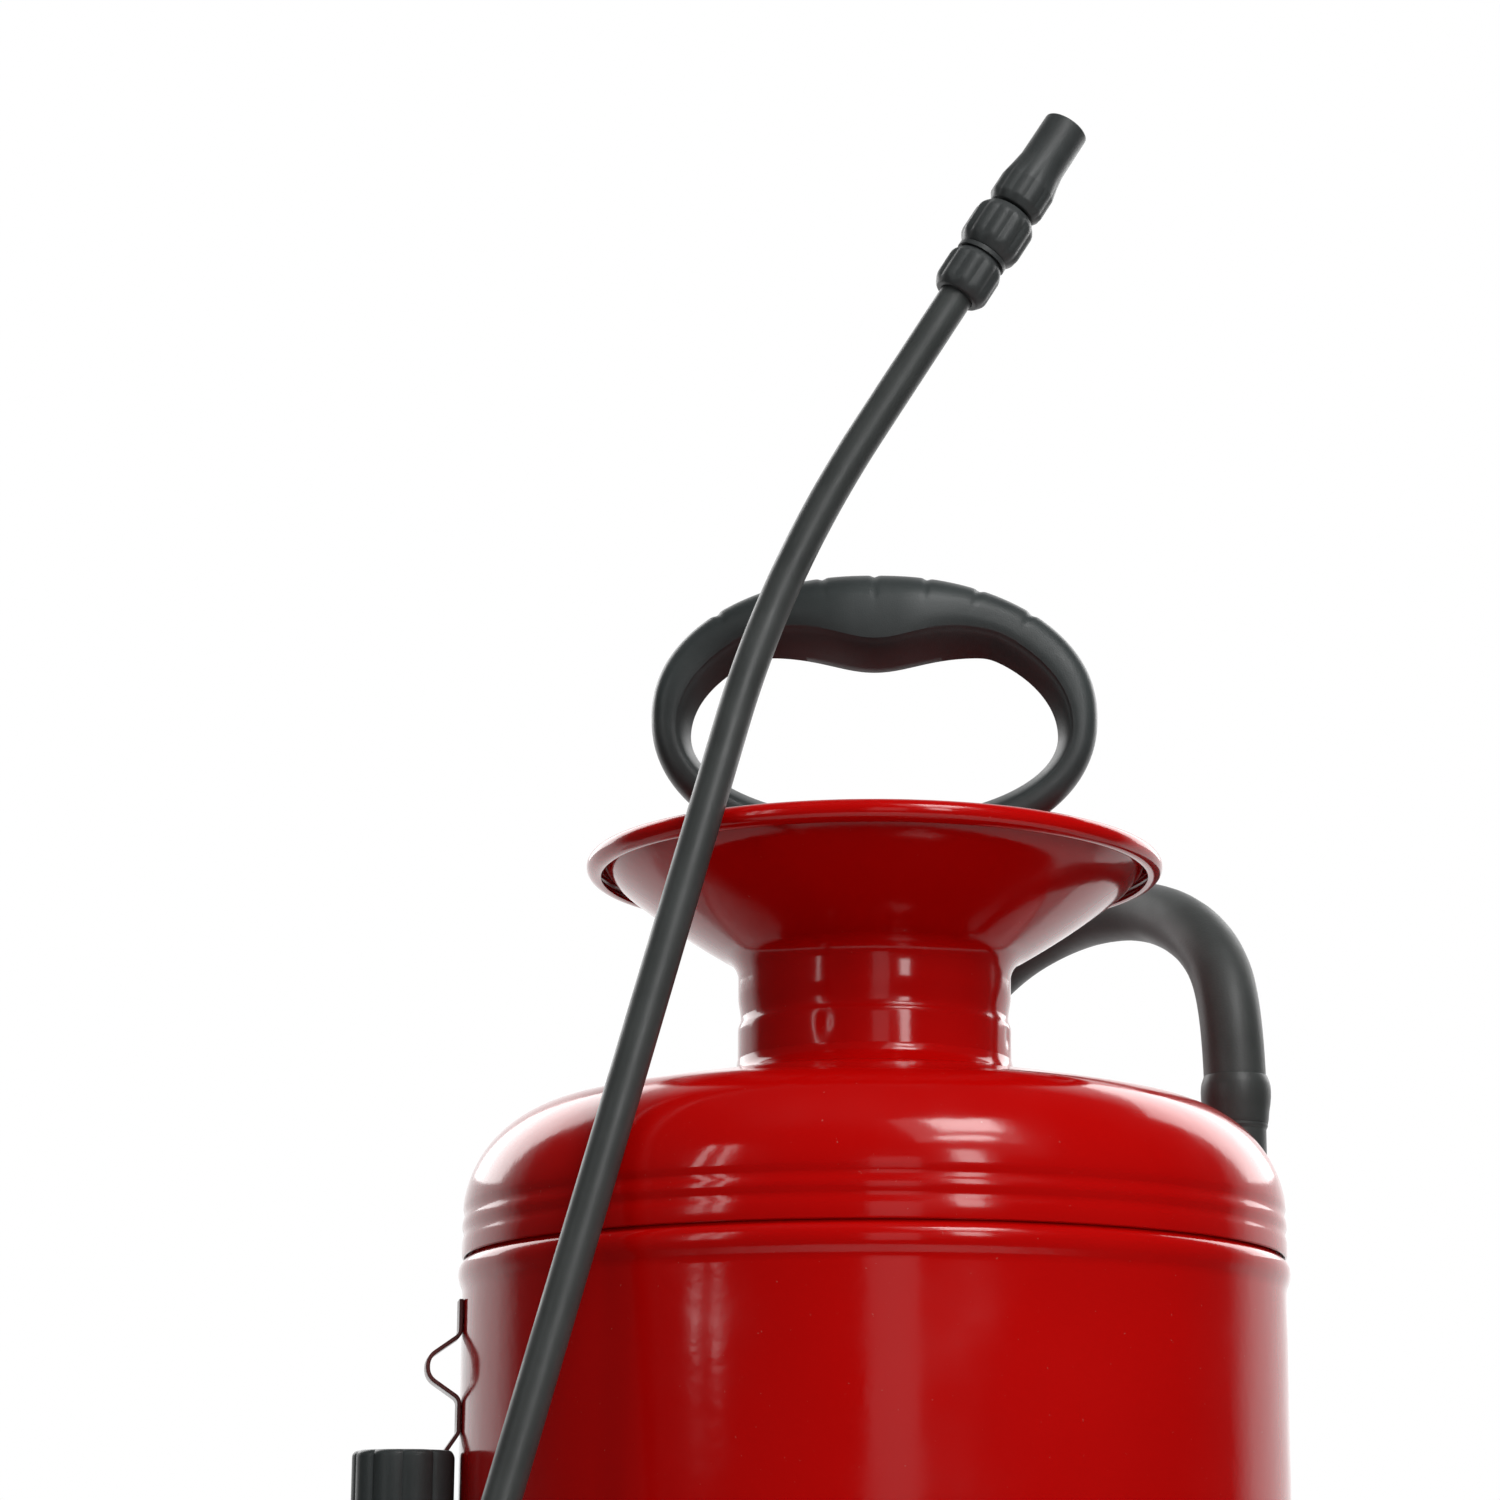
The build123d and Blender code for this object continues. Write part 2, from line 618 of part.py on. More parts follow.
with BuildPart() as nozzle_adapter:
    turn(
        nozzle,
        [(2.0, 8.2), (WAND_R + 0.03, 8.2), (WAND_R + 0.03, 3.3), (5.6, 3.3), (5.6, 11.9), (6.6, 11.9),
         (6.6, 13.1), (5.6, 13.1), (5.6, 22.0), (2.0, 22.0)],
    )
save(nozzle_adapter.part, "nozzle_adapter")

with BuildPart() as nozzle_nut:
    turn(
        nozzle,
        [(5.7, 13.3), (7.0, 13.3), (7.6, 14.2), (7.6, 25.6), (7.0, 26.5), (4.1, 26.5), (4.1, 24.7),
         (5.7, 24.7)],
    )
    ribs(nozzle, 7.55, 14.6, 25.2, 12, 2.0, 0.4)
save(nozzle_nut.part, "nozzle_nut")

# Swirl core that the tip turns on
with BuildPart() as nozzle_core:
    turn(
        nozzle,
        [(1.4, 22.1), (5.5, 22.1), (5.5, 24.5), (4.0, 24.5), (4.0, 44), (1.6, 48.5), (0, 48.5),
         (0, 45), (1.4, 45)],
    )
    with Locations(Plane(nozzle.origin + nozzle_axis * 42, z_dir=nozzle.x_dir)):
        Cylinder(0.8, 12, mode=Mode.SUBTRACT)
save(nozzle_core.part, "nozzle_core")

with BuildPart() as tip_seal:
    turn(nozzle, [(4.05, 29.2), (5.0, 29.2), (5.0, 30.4), (4.05, 30.4)])
save(tip_seal.part, "tip_seal")

with BuildPart() as nozzle_tip:
    turn(
        nozzle,
        [(4.0 + RUNNING, 27.2), (6.7, 27.2), (7.0, 27.8), (7.0, 37.6), (5.9, 38.8), (5.9, 54.1),
         (5.5, NOZZLE_LENGTH), (3.6, NOZZLE_LENGTH), (2.2, 52), (0.8, 51.5), (0.8, 50.6),
         (2.4, 50.6), (4.0 + RUNNING, 46.5), (4.0 + RUNNING, 30.6), (5.2, 30.6), (5.2, 29.0),
         (4.0 + RUNNING, 29.0)],
    )
    ribs(nozzle, 6.9, 28.4, 37.2, 12, 1.6, 0.35)
save(nozzle_tip.part, "nozzle_tip")

# ---------------------------------------------------------------- hose

# From the outlet over an arch and down behind the tank, then along the floor to the lance
hose_exit = FOOT - lance.z_dir * 26
HOSE_ROUTE = (
    (92.5, 18, HOSE_START_Z), (92.5, 18, 466), (88, 32, 488), (74, 61, 503), (53, 93, 505),
    (31, 118, 494), (13, 132, 468), (6, 137, 430), (1, 132, 376), (-6, 129, 300), (-4, 132, 210),
    (-10, 135, 130), (-23, 139, 72), (-46, 139, 30), (-82, 134, 11), (-126, 122, 8), (-172, 98, 8),
    (-214, 62, 8), (-248, 16, 8), (-270, -36, 8), (-281, -90, 8), (-281, -134, 8), (-271, -167, 8),
    (-249, -190, 8), (-220, -199, 8), (-190, -194, 9.5), (-168, -183, 21), tuple(hose_exit),
    tuple(FOOT),
)


def arc_radii(route):
    """One radius for each corner: 0.45 of the shorter run over the tangent of half the turn."""
    points = [Vector(*p) for p in route]
    radii = []
    for before, corner, after in zip(points, points[1:], points[2:]):
        run = min((corner - before).length, (after - corner).length)
        half_turn = math.radians((corner - before).get_angle(after - corner)) / 2
        radii.append(0.45 * run / math.tan(half_turn))
    return radii


hose_radii = arc_radii(HOSE_ROUTE)
with BuildPart() as hose:
    with BuildLine() as hose_path:
        FilletPolyline(*HOSE_ROUTE, radius=hose_radii)
    with BuildSketch(Plane((BOSS_AT[0], BOSS_AT[1], HOSE_START_Z))):
        Circle(HOSE_R)
    sweep(path=hose_path.line)
save(hose.part, "hose")

hose_length = hose_path.wire().length
full_volume = math.pi * HOSE_R**2 * hose_length
print("hose length", round(hose_length, 1), "tightest bend", round(min(hose_radii), 1))
print("hose volume over section times length", round(hose.part.volume / full_volume, 4))
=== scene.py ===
import json
import math

import bmesh
import bpy
from mathutils import Matrix, Vector


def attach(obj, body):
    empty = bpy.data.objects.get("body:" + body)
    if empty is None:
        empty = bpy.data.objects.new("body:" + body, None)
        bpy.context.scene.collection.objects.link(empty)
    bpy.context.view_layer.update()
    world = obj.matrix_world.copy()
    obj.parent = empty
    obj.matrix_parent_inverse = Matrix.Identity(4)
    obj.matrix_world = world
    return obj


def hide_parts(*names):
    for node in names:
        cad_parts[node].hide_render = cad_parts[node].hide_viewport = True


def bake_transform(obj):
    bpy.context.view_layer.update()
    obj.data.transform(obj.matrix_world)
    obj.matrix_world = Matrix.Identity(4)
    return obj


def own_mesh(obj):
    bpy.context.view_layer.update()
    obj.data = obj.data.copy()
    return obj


# The visual model of a hand-pumped sprayer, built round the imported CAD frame. Lengths in the
# shape functions are millimetres in the row frame, and MM turns them into metres.

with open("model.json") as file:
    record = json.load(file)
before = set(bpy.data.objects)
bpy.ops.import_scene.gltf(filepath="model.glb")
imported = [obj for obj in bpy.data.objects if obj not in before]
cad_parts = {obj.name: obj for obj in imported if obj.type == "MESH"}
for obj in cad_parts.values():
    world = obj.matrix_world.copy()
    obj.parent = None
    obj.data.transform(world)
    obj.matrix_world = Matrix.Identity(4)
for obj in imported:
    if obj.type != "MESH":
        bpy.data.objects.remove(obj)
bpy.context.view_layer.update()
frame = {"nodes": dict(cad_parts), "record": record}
MM = 0.001
scene = bpy.context.scene

# ---------------------------------------------------------------- dimensions
# As in the CAD, but for the bow of the holster's strip, which stands 0.1 further out

SHEET = 1.0
TANK_R = 101.6
SEAM_Z = 400.0
BEAD_R = 102.7
SKIRT_R = 102.0
KNUCKLE = (74.0, 410.4)
KNUCKLE_R = 28.0
NECK_R = 34.4
RIM = (70.3, 499.8)
RIM_ROLL_R = 2.7
HEAD_Z = 468.6
BOSS_AT = (92.5, 18.0)
HOSE_R = 8.0
HOSE_START_Z = 437.5
FOOT = Vector((-148.8, -173.2, 68.0))
BEND = Vector((-23.8, -51.3, 564.1))
TIP = Vector((48.6, -42.3, 683.3))
WAND_R = 4.3
WAND_BEND_R = 250.0
NOZZLE_LENGTH = 54.5
HOLSTER_ANGLE = math.radians(190)
STRIP_WIDTH = 9
STRIP_THICKNESS = 1.0
STRIP_TAB_R = 102.2
STRIP_BOW_R = 109.9
STRIP_TONGUE_R = 105.9
CUP_TOP = 353.2
CUP_CENTRE_R = 114.3
# Stations along the lance from its foot (S), and distances out from its axis (OUT)
WAND_START_S = 166.5
GRIP_START_S = 20
GRIP_END_S = 159
STEM_S = 141
PIVOT_S = 153.0
PIVOT_OUT = 15.0
CATCH_S = 27.0
CATCH_OUT = 15.5
TAU = 2 * math.pi


def place_at(origin, z_dir, x_dir):
    """The matrix of a local frame, in millimetres."""
    z = Vector(z_dir).normalized()
    x = Vector(x_dir)
    x = (x - z * x.dot(z)).normalized()
    turn = Matrix((x, z.cross(x), z)).transposed().to_4x4()
    return Matrix.Translation(Vector(origin)) @ turn


UPRIGHT = Matrix.Identity(4)
lance = place_at(FOOT, BEND - FOOT, (-0.7, -0.7, 0))
lance_x = lance.col[0].xyz
lance_y = lance.col[1].xyz
lance_z = lance.col[2].xyz
nozzle_axis = (TIP - BEND).normalized()
nozzle = place_at(TIP - nozzle_axis * NOZZLE_LENGTH, nozzle_axis, (0, -1, 0))
outlet = Matrix.Translation((BOSS_AT[0], BOSS_AT[1], 0))
holster = Matrix.Rotation(HOLSTER_ANGLE, 4, "Z")

# ---------------------------------------------------------------- surfaces


class Surface:
    """A node material whose colour, roughness and bump come from noise in object space."""

    def __init__(self, name, roughness, metallic=0.0):
        self.material = bpy.data.materials.new(name)
        self.material.use_nodes = True
        self.nodes = self.material.node_tree.nodes
        self.links = self.material.node_tree.links
        self.shader = self.nodes["Principled BSDF"]
        self.shader.inputs["Roughness"].default_value = roughness
        self.shader.inputs["Metallic"].default_value = metallic
        self.place = self.nodes.new("ShaderNodeTexCoord").outputs["Object"]
        self.last_bump = None

    def noise(self, scale, detail=3.0, stretch=(1, 1, 1), roughness=0.5):
        """Noise with `scale` features to the metre, stretched along the axes."""
        mapping = self.nodes.new("ShaderNodeMapping")
        mapping.inputs["Scale"].default_value = stretch
        texture = self.nodes.new("ShaderNodeTexNoise")
        texture.inputs["Scale"].default_value = scale
        texture.inputs["Detail"].default_value = detail
        texture.inputs["Roughness"].default_value = roughness
        self.links.new(self.place, mapping.inputs["Vector"])
        self.links.new(mapping.outputs["Vector"], texture.inputs["Vector"])
        return texture.outputs["Fac"]

    def spread(self, value, low, high, from_low=0.3, from_high=0.7):
        """A value stretched to run from low to high."""
        node = self.nodes.new("ShaderNodeMapRange")
        node.inputs["From Min"].default_value = from_low
        node.inputs["From Max"].default_value = from_high
        node.inputs["To Min"].default_value = low
        node.inputs["To Max"].default_value = high
        self.links.new(value, node.inputs["Value"])
        return node.outputs["Result"]

    def mix(self, factor, first, second):
        """Colours mixed by a factor; either may be an RGB tuple or a socket."""
        node = self.nodes.new("ShaderNodeMix")
        node.data_type = "RGBA"
        for socket, value in ((node.inputs[6], first), (node.inputs[7], second)):
            if isinstance(value, tuple):
                socket.default_value = (*value, 1)
            else:
                self.links.new(value, socket)
        self.links.new(factor, node.inputs[0])
        return node.outputs[2]

    def colour(self, socket):
        """Drive the base colour."""
        self.links.new(socket, self.shader.inputs["Base Color"])

    def rough(self, socket):
        """Drive the roughness."""
        self.links.new(socket, self.shader.inputs["Roughness"])

    def bump(self, height, distance):
        """Bumps of a height in millimetres, laid over the earlier ones."""
        node = self.nodes.new("ShaderNodeBump")
        node.inputs["Distance"].default_value = distance * MM
        node.inputs["Strength"].default_value = 1.0
        self.links.new(height, node.inputs["Height"])
        if self.last_bump is not None:
            self.links.new(self.last_bump, node.inputs["Normal"])
        self.last_bump = node.outputs["Normal"]
        self.links.new(self.last_bump, self.shader.inputs["Normal"])


def enamel(name, deep, bright, roughness=0.11):
    """Sprayed gloss enamel: slight orange peel, a little dust, faint shade changes."""
    made = Surface(name, roughness)
    shade = made.noise(9, 4)
    base = made.mix(made.spread(shade, 0, 1), deep, bright)
    dust = made.spread(made.noise(900, 2), 0, 1, 0.74, 0.8)
    made.colour(made.mix(dust, base, (0.42, 0.06, 0.05)))
    made.rough(made.spread(made.noise(60, 5), roughness * 0.75, roughness * 1.5))
    made.bump(made.noise(260, 2), 0.03)
    made.bump(made.noise(28, 2), 0.16)
    return made.material


def moulded(name, colour, roughness, grain=0.03, grain_scale=2600):
    """Moulded or extruded polymer: fine grain, dull patches and a light bloom."""
    made = Surface(name, roughness)
    bloom = made.spread(made.noise(45, 6, roughness=0.65), 0, 1)
    light = tuple(c * 1.35 + 0.004 for c in colour)
    made.colour(made.mix(bloom, colour, light))
    made.rough(made.spread(made.noise(70, 4), roughness - 0.05, roughness + 0.08))
    made.bump(made.noise(grain_scale, 2), grain)
    made.bump(made.noise(120, 2), 0.05)
    return made.material


def metal(name, colour, roughness, stretch=(1, 1, 1)):
    """Worked metal: drawing or turning lines, stains and an uneven polish."""
    made = Surface(name, roughness, metallic=1.0)
    lines = made.noise(900, 3, stretch)
    stain = made.spread(made.noise(40, 5), 0, 1)
    dull = tuple(c * 0.72 for c in colour)
    made.colour(made.mix(stain, colour, dull))
    made.rough(made.spread(lines, roughness * 0.7, roughness * 1.5))
    made.bump(lines, 0.008)
    return made.material


SURFACES = {
    "red_steel": enamel("enamel_red", (0.39, 0.0008, 0.0006), (0.46, 0.0018, 0.0012)),
    # The holster strip: the tank's red enamel darkened into a painted shade, as if the strip lay in
    # shadow
    "bracket_steel": enamel("enamel_strip_painted_shade", (0.085, 0.016, 0.015), (0.12, 0.024, 0.022), 0.28),
    "zinc_steel": metal("zinc_plate", (0.62, 0.63, 0.62), 0.34),
    "steel_rod": metal("drawn_rod", (0.66, 0.66, 0.65), 0.16, (1, 1, 0.05)),
    "crimped_ferrule": moulded("ferrule_coat", (0.032, 0.035, 0.034), 0.42, 0.02),
    "black_hose": moulded("hose_rubber", (0.034, 0.037, 0.036), 0.48, 0.04, 1500),
    "black_rubber": moulded("seal_rubber", (0.020, 0.020, 0.020), 0.6, 0.03),
    "black_plastic": moulded("black_moulding", (0.028, 0.033, 0.033), 0.40),
    "wand_plastic": moulded("wand_moulding", (0.030, 0.033, 0.032), 0.42, 0.02),
    "nozzle_plastic": moulded("nozzle_moulding", (0.026, 0.029, 0.029), 0.46),
    "inner_plastic": moulded("natural_moulding", (0.56, 0.55, 0.50), 0.42, 0.02),
    "brass": metal("turned_brass", (0.72, 0.50, 0.22), 0.24, (1, 1, 6)),
    "spring_steel": metal("spring_wire", (0.55, 0.55, 0.54), 0.26),
}

# ---------------------------------------------------------------- shape functions


def raw(name, points, faces, drop_slivers=False):
    """A bare closed mesh from points in millimetres, not yet tied to the frame."""
    mesh = bpy.data.meshes.new(name)
    mesh.from_pydata([Vector(p) * MM for p in points], [], faces)
    work = bmesh.new()
    work.from_mesh(mesh)
    bmesh.ops.remove_doubles(work, verts=work.verts, dist=2e-6)
    if drop_slivers:
        bmesh.ops.dissolve_degenerate(work, edges=work.edges, dist=1e-7)
    bmesh.ops.recalc_face_normals(work, faces=work.faces)
    work.to_mesh(mesh)
    work.free()
    made = bpy.data.objects.new(name, mesh)
    scene.collection.objects.link(made)
    return made


def piece(name, points, faces, body, slot, replaced=(), sharp=34.0, blended=False):
    """Make a piece from points in millimetres, and tie it to its body, slot and CAD nodes."""
    made = raw(name, points, faces, drop_slivers=True)
    return finish_piece(made, body, slot, replaced, sharp, blended)


def finish_piece(made, body, slot, replaced=(), sharp=34.0, blended=False):
    """Give a mesh its material and shading, and tie it to its body, slot and CAD nodes."""
    made.data.materials.clear()
    made.data.materials.append(SURFACES[slot])
    made.data.shade_smooth()
    made.data.set_sharp_from_angle(angle=math.radians(sharp))
    if not blended:
        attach(made, body)
    if replaced:
        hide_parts(*replaced)
    return made


def skin(rings, closed=False, caps=True):
    """The points and faces of a surface through rings that have equal numbers of points."""
    count = len(rings[0])
    points = [p for ring in rings for p in ring]
    spans = len(rings) if closed else len(rings) - 1
    faces = []
    for i in range(spans):
        low, high = i * count, (i + 1) % len(rings) * count
        for j in range(count):
            k = (j + 1) % count
            faces.append((low + j, low + k, high + k, high + j))
    if caps and not closed:
        faces.append(tuple(range(count)))
        faces.append(tuple((len(rings) - 1) * count + j for j in range(count)))
    return points, faces


def soften(outline, radius, closed=True, steps=5):
    """Round the corners of an outline. A radius may be one number or one for each corner."""
    count = len(outline)
    radii = radius if isinstance(radius, (list, tuple)) else [radius] * count
    made = []
    for i, corner in enumerate(outline):
        here = Vector(corner)
        if not closed and i in (0, count - 1):
            made.append(tuple(here))
            continue
        back = Vector(outline[i - 1]) - here
        ahead = Vector(outline[(i + 1) % count]) - here
        half = back.angle(ahead) / 2
        if radii[i] <= 0 or half > math.radians(86):
            made.append(tuple(here))
            continue
        reach = min(radii[i] / math.tan(half), 0.48 * back.length, 0.48 * ahead.length)
        first = here + back.normalized() * reach
        last = here + ahead.normalized() * reach
        for k in range(steps + 1):
            t = k / steps
            made.append(tuple(first * (1 - t) ** 2 + here * 2 * t * (1 - t) + last * t * t))
    return made


def arc(centre, radius, start, end, steps):
    """Points of an arc in an outline, between two angles in degrees."""
    made = []
    for k in range(steps + 1):
        angle = math.radians(start + (end - start) * k / steps)
        made.append((centre[0] + radius * math.cos(angle), centre[1] + radius * math.sin(angle)))
    return made


def lathe(outline, place=UPRIGHT, around=144, closed=True, reshape=None):
    """Turn an outline of (radius, height); reshape(angle, radius, height) may move a point."""
    rings = []
    for radius, height in outline:
        ring = []
        for j in range(around):
            angle = TAU * j / around
            r, h = (radius, height) if reshape is None else reshape(angle, radius, height)
            ring.append(place @ Vector((r * math.cos(angle), r * math.sin(angle), h)))
        rings.append(ring)
    return skin(rings, closed=closed, caps=False)


def together(*parts):
    """Several surfaces as one."""
    points, faces = [], []
    for some_points, some_faces in parts:
        start = len(points)
        points += some_points
        faces += [tuple(i + start for i in face) for face in some_faces]
    return points, faces


def smooth_step(x, low, high):
    """A smooth rise from 0 at low to 1 at high."""
    t = min(max((x - low) / (high - low), 0.0), 1.0)
    return t * t * (3 - 2 * t)


def lobes(count, depth, low, high, fade, least_radius, sharpness):
    """A reshape that stands grip ribs out of a nut, between two heights."""

    def reshape(angle, radius, height):
        if radius < least_radius:
            return radius, height
        level = smooth_step(height, low, low + fade) * (1 - smooth_step(height, high - fade, high))
        wave = 0.5 + 0.5 * math.cos(count * angle)
        return radius + depth * level * (wave**sharpness - 1), height

    return reshape


def rails(path, side):
    """A frame at each point of a path that twists as little as it can: (point, across, up)."""
    made = []
    across = Vector(side)
    for i, point in enumerate(path):
        along = (path[min(i + 1, len(path) - 1)] - path[max(i - 1, 0)]).normalized()
        across = (across - along * across.dot(along)).normalized()
        made.append((point, across.copy(), along.cross(across)))
    return made


def sweep(path, section, side):
    """Carry a section of (across, up) points along a path."""
    rings = []
    for point, across, up in rails(path, side):
        rings.append([point + across * a + up * b for a, b in section])
    return skin(rings)


def circle(radius, count):
    """Points of a circle about the origin."""
    angles = [TAU * k / count for k in range(count)]
    return [(radius * math.cos(angle), radius * math.sin(angle)) for angle in angles]


def rounded_box(width, depth, radius, steps):
    """A rectangle about the origin with rounded corners."""
    w, d = width / 2, depth / 2
    return soften([(w, d), (-w, d), (-w, -d), (w, -d)], radius, steps=steps)


def extrude(outline, place, low, high, edge):
    """A prism of a closed outline in a frame's x and y, with its two rims rounded."""
    count = len(outline)
    normals = []
    for i in range(count):
        before, here, after = (Vector(outline[(i + k) % count]) for k in (-1, 0, 1))
        run = (after - before).normalized()
        normals.append(Vector((-run.y, run.x)))
    area = sum(
        outline[i][0] * outline[(i + 1) % count][1] - outline[(i + 1) % count][0] * outline[i][1]
        for i in range(count)
    )
    inward = 1 if area > 0 else -1
    rings = []
    levels = [(low, 1.0), (low + 0.3 * edge, 0.3), (low + edge, 0.0)]
    levels += [(high - edge, 0.0), (high - 0.3 * edge, 0.3), (high, 1.0)]
    for height, share in levels:
        ring = []
        for (x, y), normal in zip(outline, normals):
            shift = normal * (inward * edge * share)
            ring.append(place @ Vector((x + shift.x, y + shift.y, height)))
        rings.append(ring)
    return skin(rings)


# ---------------------------------------------------------------- camera, floor, lights and sky

CAMERA_AT = Vector((0.0, -0.9, 0.3115))
CAMERA_TILT = 11.84
camera_data = bpy.data.cameras.new("camera")
camera = bpy.data.objects.new("camera", camera_data)
scene.collection.objects.link(camera)
camera.location = CAMERA_AT
camera.rotation_euler = (math.radians(90 + CAMERA_TILT), 0, 0)
camera_data.sensor_width = 36
camera_data.lens = 86.8
camera_data.shift_x = -0.083
camera_data.shift_y = 0.08
camera_data.clip_start = 0.01
camera_data.clip_end = 50
scene.camera = camera
scene.view_settings.view_transform = "Standard"

FLOOR_R = 0.9
floor_edge = [(x, y, 0) for x, y in circle(FLOOR_R, 128)]
floor_mesh = bpy.data.meshes.new("floor")
floor_mesh.from_pydata(floor_edge, [], [tuple(range(len(floor_edge)))])
floor = bpy.data.objects.new("floor", floor_mesh)
scene.collection.objects.link(floor)
floor_look = Surface("studio_floor", 0.7)
floor_look.colour(
    floor_look.mix(floor_look.noise(3, 2), (0.46, 0.46, 0.46), (0.50, 0.50, 0.50))
)
floor_mesh.materials.append(floor_look.material)


def softbox(name, azimuth, elevation, distance, width, height, power, glossy=True):
    """An area light that faces the tank's shoulder. Azimuth 0 is in front, 90 to the right."""
    data = bpy.data.lights.new(name, "AREA")
    data.shape = "RECTANGLE"
    data.size = width
    data.size_y = height
    data.energy = power
    made = bpy.data.objects.new(name, data)
    scene.collection.objects.link(made)
    a, e = math.radians(azimuth), math.radians(elevation)
    out = Vector((math.sin(a) * math.cos(e), -math.cos(a) * math.cos(e), math.sin(e)))
    made.location = Vector((0, 0, 0.40)) + out * distance
    made.rotation_euler = out.to_track_quat("Z", "Y").to_euler()
    made.visible_camera = False
    made.visible_glossy = glossy


# Broad bounced light that shows in no reflection
softbox("fill_front", 14, 12, 1.7, 0.9, 0.9, 4.6, glossy=False)
softbox("fill_key", 30, 38, 1.5, 0.8, 0.8, 9.0, glossy=False)
softbox("fill_top", -10, 72, 1.4, 1.2, 1.0, 4.6, glossy=False)
# Panels that make the reflections: dim ones in front, and two bright ones behind
softbox("key_core", 31, 50, 1.3, 0.34, 0.28, 2.9)
softbox("key_low", 27, 38, 1.3, 0.30, 0.08, 0.9)
softbox("key_halo", 28, 46, 1.32, 0.62, 0.55, 1.0)
softbox("lamp", 25, 18, 1.5, 0.20, 0.50, 2.0)
softbox("window_left", -47, 17.5, 1.4, 0.06, 0.72, 0.55)
softbox("window_right", -41, 17.5, 1.4, 0.06, 0.72, 0.55)
softbox("front", 5, 4, 1.8, 0.42, 0.9, 0.55)
softbox("back_left", -140, 30, 1.6, 0.9, 1.0, 8)
softbox("back_right", 140, 30, 1.6, 0.9, 1.0, 8)

# The camera sees a white sky. All else sees one that is dim in front and bright behind.
SKY_STOPS = ((0.0, 0.03), (0.25, 0.04), (0.5, 0.03), (0.70, 0.05), (0.80, 0.95), (1.0, 1.25))
world = bpy.data.worlds.new("studio")
scene.world = world
world.use_nodes = True
sky = world.node_tree
for node in list(sky.nodes):
    sky.nodes.remove(node)
sky_out = sky.nodes.new("ShaderNodeOutputWorld")
sky_mix = sky.nodes.new("ShaderNodeMixShader")
sky_seen = sky.nodes.new("ShaderNodeBackground")
sky_seen.inputs["Color"].default_value = (1, 1, 1, 1)
sky_lit = sky.nodes.new("ShaderNodeBackground")
sky_rays = sky.nodes.new("ShaderNodeLightPath")
sky_way = sky.nodes.new("ShaderNodeTexCoord")
sky_split = sky.nodes.new("ShaderNodeSeparateXYZ")
sky_ramp = sky.nodes.new("ShaderNodeValToRGB")
sky.links.new(sky_way.outputs["Generated"], sky_split.inputs["Vector"])
sky_range = sky.nodes.new("ShaderNodeMapRange")
sky_range.inputs["From Min"].default_value = -1
sky_range.inputs["From Max"].default_value = 1
sky.links.new(sky_split.outputs["Y"], sky_range.inputs["Value"])
sky.links.new(sky_range.outputs["Result"], sky_ramp.inputs["Fac"])
ramp = sky_ramp.color_ramp
while len(ramp.elements) < len(SKY_STOPS):
    ramp.elements.new(0.5)
for element, (position, level) in zip(ramp.elements, SKY_STOPS):
    element.position = position
    element.color = (level, level, level, 1)
sky.links.new(sky_ramp.outputs["Color"], sky_lit.inputs["Color"])
sky.links.new(sky_rays.outputs["Is Camera Ray"], sky_mix.inputs["Fac"])
sky.links.new(sky_lit.outputs["Background"], sky_mix.inputs[1])
sky.links.new(sky_seen.outputs["Background"], sky_mix.inputs[2])
sky.links.new(sky_mix.outputs["Shader"], sky_out.inputs["Surface"])

# ---------------------------------------------------------------- hose

hose_exit = FOOT - lance_z * 26
HOSE_ROUTE = (
    (92.5, 18, HOSE_START_Z), (92.5, 18, 466), (88, 32, 488), (74, 61, 503), (53, 93, 505),
    (31, 118, 494), (13, 132, 468), (6, 137, 430), (1, 132, 376), (-6, 129, 300), (-4, 132, 210),
    (-10, 135, 130), (-23, 139, 72), (-46, 139, 30), (-82, 134, 11), (-126, 122, 8), (-172, 98, 8),
    (-214, 62, 8), (-248, 16, 8), (-270, -36, 8), (-281, -90, 8), (-281, -134, 8), (-271, -167, 8),
    (-249, -190, 8), (-220, -199, 8), (-190, -194, 9.5), (-168, -183, 21), tuple(hose_exit),
    tuple(FOOT),
)
line_data = bpy.data.curves.new("hose_line", "CURVE")
line_data.dimensions = "3D"
line_data.resolution_u = 14
line = line_data.splines.new("NURBS")
line.points.add(len(HOSE_ROUTE) - 1)
for control, point in zip(line.points, HOSE_ROUTE):
    control.co = (*(Vector(point) * MM), 1)
line.order_u = 3
line.use_endpoint_u = True
line_object = bpy.data.objects.new("hose_line", line_data)
scene.collection.objects.link(line_object)
bpy.context.view_layer.update()
line_mesh = bpy.data.meshes.new_from_object(line_object)
hose_points = [v.co / MM for v in line_mesh.vertices]
bpy.data.objects.remove(line_object)

hose = piece(
    "hose_rubber",
    *sweep(hose_points, circle(HOSE_R, 28), side=(1, 0, 0)),
    "tank",
    "black_hose",
    ["hose"],
    blended=True,
)
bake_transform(hose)

# ---------------------------------------------------------------- tank


def sheet(line):
    """A closed outline of sheet metal whose outside is the line and whose inside is on its left."""
    inner = []
    for i, here in enumerate(line):
        run = Vector(line[min(i + 1, len(line) - 1)]) - Vector(line[max(i - 1, 0)])
        run.normalize()
        inner.append((here[0] - run.y * SHEET, here[1] + run.x * SHEET))
    return list(line) + inner[::-1]


